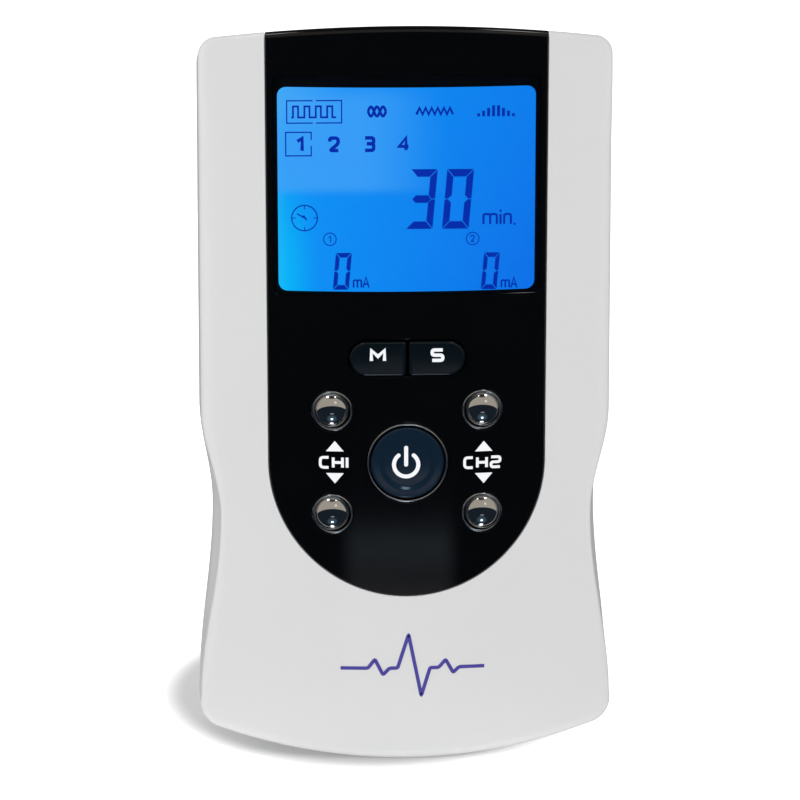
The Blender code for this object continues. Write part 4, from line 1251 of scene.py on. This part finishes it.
def key_marks():
    surface = on_plane(low_high("button_mode")[0].y, PRINT_LIFT)
    centre = mid("button_mode").z + 0.62
    tall, weight = 1.78, 0.58
    for name, mark, x, wide in (("mode", "M", -5.0, 1.34), ("set", "S", 5.02, 1.05)):
        corner = (x - TECHNO[mark][0] * tall * wide / 2, centre - tall / 2)
        forms = lettering(mark, TECHNO, tall, weight, 0, corner, surface, wide)
        printed("mark_" + name, forms, "white_print", "key_" + name, "slate_key")
    centre = mid("button_power")
    surface = on_plane(low_high("button_power")[0].y, PRINT_LIFT)
    cx, cz = centre.x - 0.25, centre.z - 0.17
    paths = (arc(cx, cz, 2.06, 128, 412, 48), [(cx, cz), (cx, cz + 2.95)])
    forms = [stroke_form(path, 0.68, surface, round_ends=True) for path in paths]
    printed("mark_power", forms, "white_print", "key_power", "slate_key")


def channel_marks():
    surface = on_crown(PRINT_LIFT)
    forms = []
    for x, text, width, z in ((-12.3, "CH1", 5.42, 53.05), (13.0, "CH2", 7.03, 52.8)):
        corner = (x - width / 2 + 0.24, z - 0.87)
        forms += lettering(text, TECHNO, 1.75, 0.48, 0.78, corner, surface, 1.12)
        for low, high in ((z + 1.95, z + 3.75), (z - 1.85, z - 3.65)):
            forms.append(plate_form([(x - 1.5, low), (x + 1.5, low), (x, high)], surface))
    printed("marks_channel", forms, "white_print", "housing", "black_gloss")


def pulse_print():
    """Plain printed pulse line on the lower front."""
    path = [(-11.5, 16.6), (-6.8, 16.6), (-5.6, 18.2), (-4.2, 15.4), (-3.1, 16.6), (-1.7, 16.6), (0.2, 22.6),
            (2.4, 11.6), (3.9, 16.6), (5.4, 16.6), (6.6, 18.0), (7.9, 15.6), (8.9, 16.6), (13.3, 16.6)]
    forms = [stroke_form(eased(path, 0.35), 0.62, on_crown(0.04))]
    printed("print_pulse", forms, "blue_print", "housing", "white_shell")


SLANT = math.tan(math.radians(5.0))
BAR_GAP = 0.09


def seven_segment(lit, x, z, width, height, thick, flat):
    """Polygons of one digit: lit names the bars a to g; thick bars stand, flat bars lie."""
    gap = BAR_GAP
    middle = height / 2
    near, far = thick + gap, width - thick - gap
    shapes = {
        "a": [(gap, height), (width - gap, height), (far, height - flat), (near, height - flat)],
        "b": [(width, height - gap), (width, middle + gap), (width - thick * 0.5, middle + gap * 0.5),
              (width - thick, middle + flat * 0.5), (width - thick, height - flat - gap)],
        "c": [(width, gap), (width, middle - gap), (width - thick * 0.5, middle - gap * 0.5),
              (width - thick, middle - flat * 0.5), (width - thick, flat + gap)],
        "d": [(gap, 0.0), (width - gap, 0.0), (far, flat), (near, flat)],
        "g": [(thick * 0.5 + gap, middle), (near, middle + flat / 2), (far, middle + flat / 2),
              (width - thick * 0.5 - gap, middle), (far, middle - flat / 2), (near, middle - flat / 2)],
    }
    shapes["f"] = [(width - u, v) for u, v in shapes["b"]]
    shapes["e"] = [(width - u, v) for u, v in shapes["c"]]
    return [[(x + u + v * SLANT, z + v) for u, v in shapes[bar]] for bar in lit]


WAVE_WEIGHT = 0.44
CLOCK_RADIUS = 2.16
CLOCK_TICK = 1.5


def display_marks():
    surface = on_plane(low_high("lcd_glass")[0].y, 0.04)
    large, small = (4.5, 10.15, 1.14, 1.28), (2.68, 6.3, 0.70, 0.80)
    forms = []
    for lit, x, z, size in (
        ("abcdg", -0.1, 92.4, large),
        ("abcdef", 6.0, 92.4, large),
        ("abcdef", -12.4, 82.1, small),
        ("abcdef", 12.6, 82.0, small),
    ):
        forms += [plate_form(bar, surface) for bar in seven_segment(lit, x, z, *size)]
    for frame_path in (
        [(-15.62, 114.2), (-19.95, 114.2), (-19.95, 110.45), (-15.62, 110.45)],
        [(-15.08, 114.2), (-10.8, 114.2), (-10.8, 110.45), (-15.08, 110.45)],
        [(-15.9, 107.6), (-15.9, 108.9), (-20.15, 108.9), (-20.15, 104.95), (-15.9, 104.95), (-15.9, 106.6)],
    ):
        forms.append(stroke_form(frame_path, 0.20, surface))
    base, peak = 111.4, 113.25
    middle = (base + peak) / 2
    pulse = [(-19.2, base)]
    for k in range(4):
        x = -18.9 + 1.9 * k
        pulse += [(x, base), (x, peak), (x + 0.85, peak), (x + 0.85, base)]
    forms.append(stroke_form(pulse + [(-11.7, base)], 0.30, surface))
    for phase in (0.0, math.pi):
        sway = [0.8 * math.sin(phase + 2 * math.pi * k / 16) for k in range(25)]
        wave = [(-6.4 + 3.0 * k / 24, middle + rise) for k, rise in enumerate(sway)]
        forms.append(stroke_form(wave, WAVE_WEIGHT, surface))
    zigzag = [(1.7 + 6.1 * k / 12, middle + (0.55 if k % 2 else -0.55)) for k in range(13)]
    forms.append(stroke_form(zigzag, WAVE_WEIGHT, surface))
    for k, tall in enumerate((0.5, 0.95, 1.4, 1.85, 1.85, 1.4, 0.95, 0.5)):
        x = 12.1 + 0.83 * k
        forms.append(bar_form((x, base), (x, base + tall), 0.50, surface))
    for mark, x in (("1", -18.2), ("2", -12.8), ("3", -6.9), ("4", -1.2)):
        forms += lettering(mark, PLAIN, 2.1, 0.60, 0.0, (x, 105.8), surface, 1.1)
    forms += lettering("min.", PLAIN, 2.35, 0.36, 0.62, (13.0, 93.15), surface, 1.0)
    for spot in ((-8.9, 82.45), (16.1, 82.25)):
        forms += lettering("mA", PLAIN, 1.75, 0.27, 0.3, spot, surface, 0.78)
    forms += clock(-17.1, 94.4, surface)
    for mark, x, z, inset in (("1", -12.86, 90.75, 0.2), ("2", 11.2, 90.7, 0.33)):
        forms.append(stroke_form(circle(x, z, 1.06, 32), 0.16, surface, True))
        forms += lettering(mark, PLAIN, 1.05, 0.18, 0.0, (x - inset, z - 0.53), surface, 0.9)
    printed("display_segments", forms, "segment", "housing", "lcd")


def clock(cx, cz, surface):
    """Clock face with four ticks and two hands."""
    forms = [stroke_form(circle(cx, cz, CLOCK_RADIUS), 0.2, surface, True)]
    for k in range(4):
        c, s = math.cos(math.pi / 2 * k), math.sin(math.pi / 2 * k)
        tick = [(cx + c * reach, cz + s * reach) for reach in (CLOCK_TICK, CLOCK_RADIUS)]
        forms.append(bar_form(*tick, 0.15, surface))
    forms.append(bar_form((cx - 1.25, cz + 0.75), (cx + 0.05, cz), 0.22, surface))
    forms.append(bar_form((cx - 0.2, cz + 0.45), (cx + 0.35, cz - 0.35), 0.26, surface))
    return forms


def display_plate():
    low, high = low_high("lcd_glass")
    loops = []
    for inset, y in ((0.15, low.y), (0.0, low.y + 0.15), (0.0, high.y)):
        ring = rounded_box(high.x - inset, low.z + inset, high.z - inset, 0.6, 4, 8)
        loops.append([(x, y, z) for x, z in ring])
    placed("display_glass", bridge(loops), "lcd", "housing", "lcd", "lcd_glass")


key_marks()
channel_marks()
pulse_print()
display_plate()
display_marks()


# Sockets, screws, cells and hinge pin


def sockets():
    for name in ("output_jack_ch1", "output_jack_ch2", "dc_jack"):
        low, high = low_high(name)
        centre = mid(name)
        if name == "dc_jack":
            axis, base, length = "X", (low.x, centre.y, centre.z), high.x - low.x
        else:
            axis, base, length = "Z", (centre.x, centre.y, low.z), high.z - low.z
        rows = [(3.4, 0.0), (3.4, length - 0.35), (3.3, length - 0.1), (3.1, length), (2.2, length)]
        rows += [(1.95, length - 0.15), (1.9, length - 0.4), (1.9, 2.0), (0.75, 2.0)]
        placed(name + "_socket", turned(base, axis, rows, 64), "switch", "housing", "black_plastic", name)
        tip = length - 1.4
        rows = [(0.6, 1.6), (0.6, tip - 0.4), (0.5, tip - 0.12), (0.25, tip)]
        placed(name + "_pin", turned(base, axis, rows, 32), "spring", "housing", "spring_steel")


SCREW_HEAD = 2.4
SCREW_SEAT = 5.35
SCREW_DOME = 0.75
SLOT_HALVES = (1.35, 0.28)


def screws():
    for name in SCREWS:
        low, high = low_high(name)
        centre = mid(name)
        rim = high.y - SCREW_DOME
        rows = [(0.4, low.y), (0.95, low.y + 0.9), (0.95, SCREW_SEAT)]
        rows += [(SCREW_HEAD, SCREW_SEAT), (SCREW_HEAD, rim)]
        for k in range(1, 8):
            angle = math.radians(90 * k / 8)
            reach = SCREW_HEAD - 2.0 * (1 - math.cos(angle)) * 0.9
            rows.append((reach, rim + SCREW_DOME * math.sin(angle)))
        form = turned((centre.x, 0.0, centre.z), "Y", rows, 48)
        screw = make_object(name + "_steel", *form, LOOKS["screw"])
        for wide, tall in (SLOT_HALVES, SLOT_HALVES[::-1]):
            slot_low = (centre.x - wide, high.y - 0.85, centre.z - tall)
            slot_high = (centre.x + wide, high.y + 1, centre.z + tall)
            change(screw, block(slot_low, slot_high))
        complete(screw, None, "housing", "screw_steel", name)


CELL_PROFILE = [
    (0.5, 0.05), (4.6, 0.05), (5.0, 0.25), (5.9, 0.1), (6.5, 0.15), (6.85, 0.5), (6.9, 0.9), (6.9, 48.3),
    (6.8, 48.9), (6.5, 49.3), (5.9, 49.5), (5.4, 49.2), (4.4, 49.25), (3.1, 49.45), (2.75, 49.6),
    (2.75, 50.2), (2.6, 50.42), (2.2, 50.5), (0.5, 50.5),
]
SLEEVE_RADIUS = 6.3
SLEEVE_ENDS = (0.2, 49.35)
BAND_START = 38.0


def cells():
    """AA cells with a wrapped sleeve, a crimped top and a nub."""
    for k in range(4):
        name = f"cell_{k + 1}"
        low, high = low_high(name)
        centre = mid(name)
        start, sign = (high.z, -1) if k % 2 else (low.z, 1)
        rows = [(radius, sign * along) for radius, along in CELL_PROFILE]
        form = turned((centre.x, centre.y, start), "Z", rows, 64)
        cell = make_object(name + "_wrapped", *form, LOOKS["cell"])
        cell.data.materials.append(LOOKS["can"])
        cell.data.materials.append(LOOKS["cell_band"])
        for face in cell.data.polygons:
            reach = abs(face.center.z / MM - start)
            across = math.hypot(face.center.x / MM - centre.x, face.center.y / MM - centre.y)
            if across < SLEEVE_RADIUS or not SLEEVE_ENDS[0] <= reach <= SLEEVE_ENDS[1]:
                face.material_index = 1
            elif reach > BAND_START:
                face.material_index = 2
        mount(cell, "housing", "cell_wrap", name)


def hinge_pin():
    low, high = low_high("clip_pin")
    half = (high.x - low.x) / 2
    rows = [(0.6, -half), (0.9, -half + 0.3), (0.9, half - 0.3), (0.6, half)]
    body = frame["nodes"]["clip_pin"]["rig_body"]
    placed("hinge_pin", turned(pin_mid, "X", rows, 40), "spring", body, "spring_steel", "clip_pin")


sockets()
screws()
cells()
hinge_pin()

# CAD nodes that stay, with a finish for each slot
BY_NODE = {
    "lcd_backlight": "backlight", "lcd_frame": "switch", "lcd_connector": "rubber", "main_board": "board",
    "controller_chip": "chip", "transformer_ch1": "ferrite", "transformer_ch2": "ferrite",
    "capacitor": "can", "buzzer": "chip", "clip_spring": "spring",
}
for node_name, kept in frame["nodes"].items():
    if kept.hide_render:
        continue
    look = BY_NODE.get(node_name)
    if look is None:
        look = {"switch": "switch", "plunger": "plunger", "contact": "spring"}[node_name.split("_")[0]]
    for slot_item in kept.material_slots:
        slot_item.material = LOOKS[look]
    if not kept.material_slots:
        kept.data.materials.append(LOOKS[look])


# Floor, light and camera

# Bands of the room that polished parts mirror low in front: where each fades in and out, and its colour
BANDS = (
    ((-0.2645, -0.2695), (-0.2795, -0.2750), (0.34, 0.42, 0.48)),
    ((-0.2785, -0.2860), (-0.37, -0.31), (0.40, 0.38, 0.41)),
)
# Lamps that polished parts mirror: azimuth, elevation, inner and outer radius in degrees, and colour
LAMPS = (
    (0.0, -50.0, 2.0, 30.0, (0.05, 0.085, 0.12)),
    (0.0, -52.0, 1.0, 7.0, (3.0, 4.0, 5.2)),
    (0.0, -84.0, 2.0, 9.0, (2.2, 2.2, 2.2)),
    (30.0, 46.0, 3.0, 9.0, (0.75, 0.72, 0.66)),
    (90.0, 72.0, 2.0, 6.0, (7.0, 7.0, 7.0)),
    (-90.0, 72.0, 2.0, 6.0, (7.0, 7.0, 7.0)),
)


def toward(azimuth, elevation):
    """Direction from the unit, in degrees: azimuth 0 is straight ahead of its front."""
    a, e = math.radians(azimuth), math.radians(elevation)
    return Vector((math.sin(a) * math.cos(e), -math.cos(a) * math.cos(e), math.sin(e)))


def world_light():
    """Soft white room; polished parts mirror a pale upper half, a dark lower half, bands and lamps."""
    world = bpy.data.worlds.new("room")
    bpy.context.scene.world = world
    graph = Graph(world, "Generated")
    path = graph.add("LightPath", {}).outputs

    def dot(direction):
        return graph.vector("DOT_PRODUCT", graph.place, Vector(direction).normalized())["Value"]

    def over(amount, first, second):
        return graph.blend(amount, first, second, clamp=False)

    side, ahead, up = dot((1, 0, 0)), dot((0, -1, 0)), dot((0, 0, 1))
    horizon = graph.ramp(dot((0.0, 0.62, 1.0)), -0.085, -0.055)
    mirrored = over(horizon, (0.009, 0.014, 0.022), (0.34, 0.32, 0.28))
    layers = [(graph.ramp(up, 0.93, 0.97), (0.03, 0.03, 0.03))]
    layers.append((graph.ramp(ahead, -0.05, -0.25), (0.06, 0.06, 0.06)))
    narrow = graph.times(graph.ramp(side, 0.215, 0.150), graph.ramp(side, -0.180, -0.110))
    for fade_in, fade_out, colour in BANDS:
        band = graph.times(graph.ramp(up, *fade_in), graph.ramp(up, *fade_out))
        layers.append((graph.times(narrow, band), colour))
    for azimuth, elevation, inner, outer, colour in LAMPS:
        rim, core = (math.cos(math.radians(angle)) for angle in (outer, inner))
        layers.append((graph.ramp(dot(toward(azimuth, elevation)), rim, core), colour))
    for amount, colour in layers:
        mirrored = over(amount, mirrored, colour)
    soft = over(graph.ramp(up, 0.0, 1.0), (0.26, 0.26, 0.265), (1.25, 1.25, 1.25))
    soft = over(graph.ramp(graph.times(side, side), 0.0, 1.0), soft, (1.1, 1.1, 1.1))
    chosen = over(path["Is Glossy Ray"], soft, mirrored)
    chosen = over(path["Is Camera Ray"], chosen, (1.0, 1.0, 1.0))
    graph.own("Background", {"Color": chosen})


def soft_light(name, place, size, power):
    lamp = bpy.data.lights.new(name, "AREA")
    lamp.shape = "DISK"
    lamp.size = size
    lamp.energy = power
    made = bpy.data.objects.new(name, lamp)
    made.location = place
    made.rotation_euler = (LIGHT_TARGET - Vector(place)).to_track_quat("-Z", "Y").to_euler()
    made.visible_glossy = False
    bpy.context.collection.objects.link(made)


FLOOR_GLOW = 0.46
BOUNCE_NEAR = 0.72
BOUNCE_FAR = 0.37
BOUNCE_REACH = 2.0
# Painted shadow round the foot: inside this ellipse the floor's colour is darker and its glow for camera rays
# fades out; for rays that light the unit, the floor glows more strongly near it.
SHADE_TONE = 0.60
FLOOR_TONE = 0.90
SHADE_INNER = 0.97
SHADE_OUTER = 1.17
SHADE_OFFSET = (0.0050, -0.026, 0.0)
SHADE_SCALE = (1 / 0.0352, 1 / 0.0398, 0.0)


FLOOR_SIZE = 6.0
FLOOR_CELLS = 12
FLOOR_DROP = 0.02


def floor():
    """Plain white floor that runs out of view, with a soft shadow painted round the foot."""
    marks = [(k / FLOOR_CELLS - 0.5) * FLOOR_SIZE / MM for k in range(FLOOR_CELLS + 1)]
    points = [(x, y, -FLOOR_DROP) for x in marks for y in marks]
    row = len(marks)
    starts = [i * row + j for i in range(FLOOR_CELLS) for j in range(FLOOR_CELLS)]
    faces = [(k, k + row, k + row + 1, k + 1) for k in starts]
    look = finish("floor_white", (0.90, 0.90, 0.90), 0.8, mottle=0.004, bump=0.0, grain=60.0)
    graph = Graph(look)
    place = graph.vector("ADD", graph.place, SHADE_OFFSET)[0]
    place = graph.vector("MULTIPLY", place, SHADE_SCALE)[0]
    away = graph.vector("LENGTH", place)["Value"]
    bounce = graph.ramp(away, 1.0, BOUNCE_REACH, BOUNCE_NEAR, BOUNCE_FAR)
    glow = graph.ramp(away, SHADE_INNER, SHADE_OUTER, 0.0, FLOOR_GLOW)
    seen = graph.add("LightPath", {}).outputs["Is Camera Ray"]
    graph.own("Principled BSDF", {
        "Base Color": graph.ramp(away, SHADE_INNER, SHADE_OUTER, SHADE_TONE, FLOOR_TONE),
        "Emission Color": (1.0, 1.0, 1.0),
        "Emission Strength": graph.add("Mix", {"Factor": seen, 2: bounce, 3: glow}).outputs[0],
        "Specular IOR Level": 0.0,
    })
    ground = make_object("floor", points, faces, look)
    ground.visible_glossy = False


LIGHT_TARGET = Vector((0.0, 0.0, 0.06))
CAMERA_DISTANCE = 0.560
CAMERA_ELEVATION = 13.0
CAMERA_AZIMUTH = -2.5
AIM_HEIGHT = 0.0624
LENS_MM = 145.7
CAMERA_SHIFT = (-0.005, -0.01125)


def camera():
    back = toward(CAMERA_AZIMUTH, CAMERA_ELEVATION)
    data = bpy.data.cameras.new("camera")
    data.lens = LENS_MM
    data.sensor_width = 36.0
    data.shift_x = CAMERA_SHIFT[0]
    data.shift_y = CAMERA_SHIFT[1]
    data.clip_start, data.clip_end = 0.01, 50.0
    made = bpy.data.objects.new("camera", data)
    made.location = Vector((0.0, 0.0, AIM_HEIGHT)) + back * CAMERA_DISTANCE
    made.rotation_euler = (-back).to_track_quat("-Z", "Y").to_euler()
    bpy.context.collection.objects.link(made)
    bpy.context.scene.camera = made


world_light()
floor()
soft_light("key_light", (0.9, -1.4, 1.4), 1.0, 2.6)
soft_light("fill_light", (-1.8, -0.1, 0.7), 1.4, 5.5)
camera()
bpy.context.scene.view_settings.view_transform = "Standard"
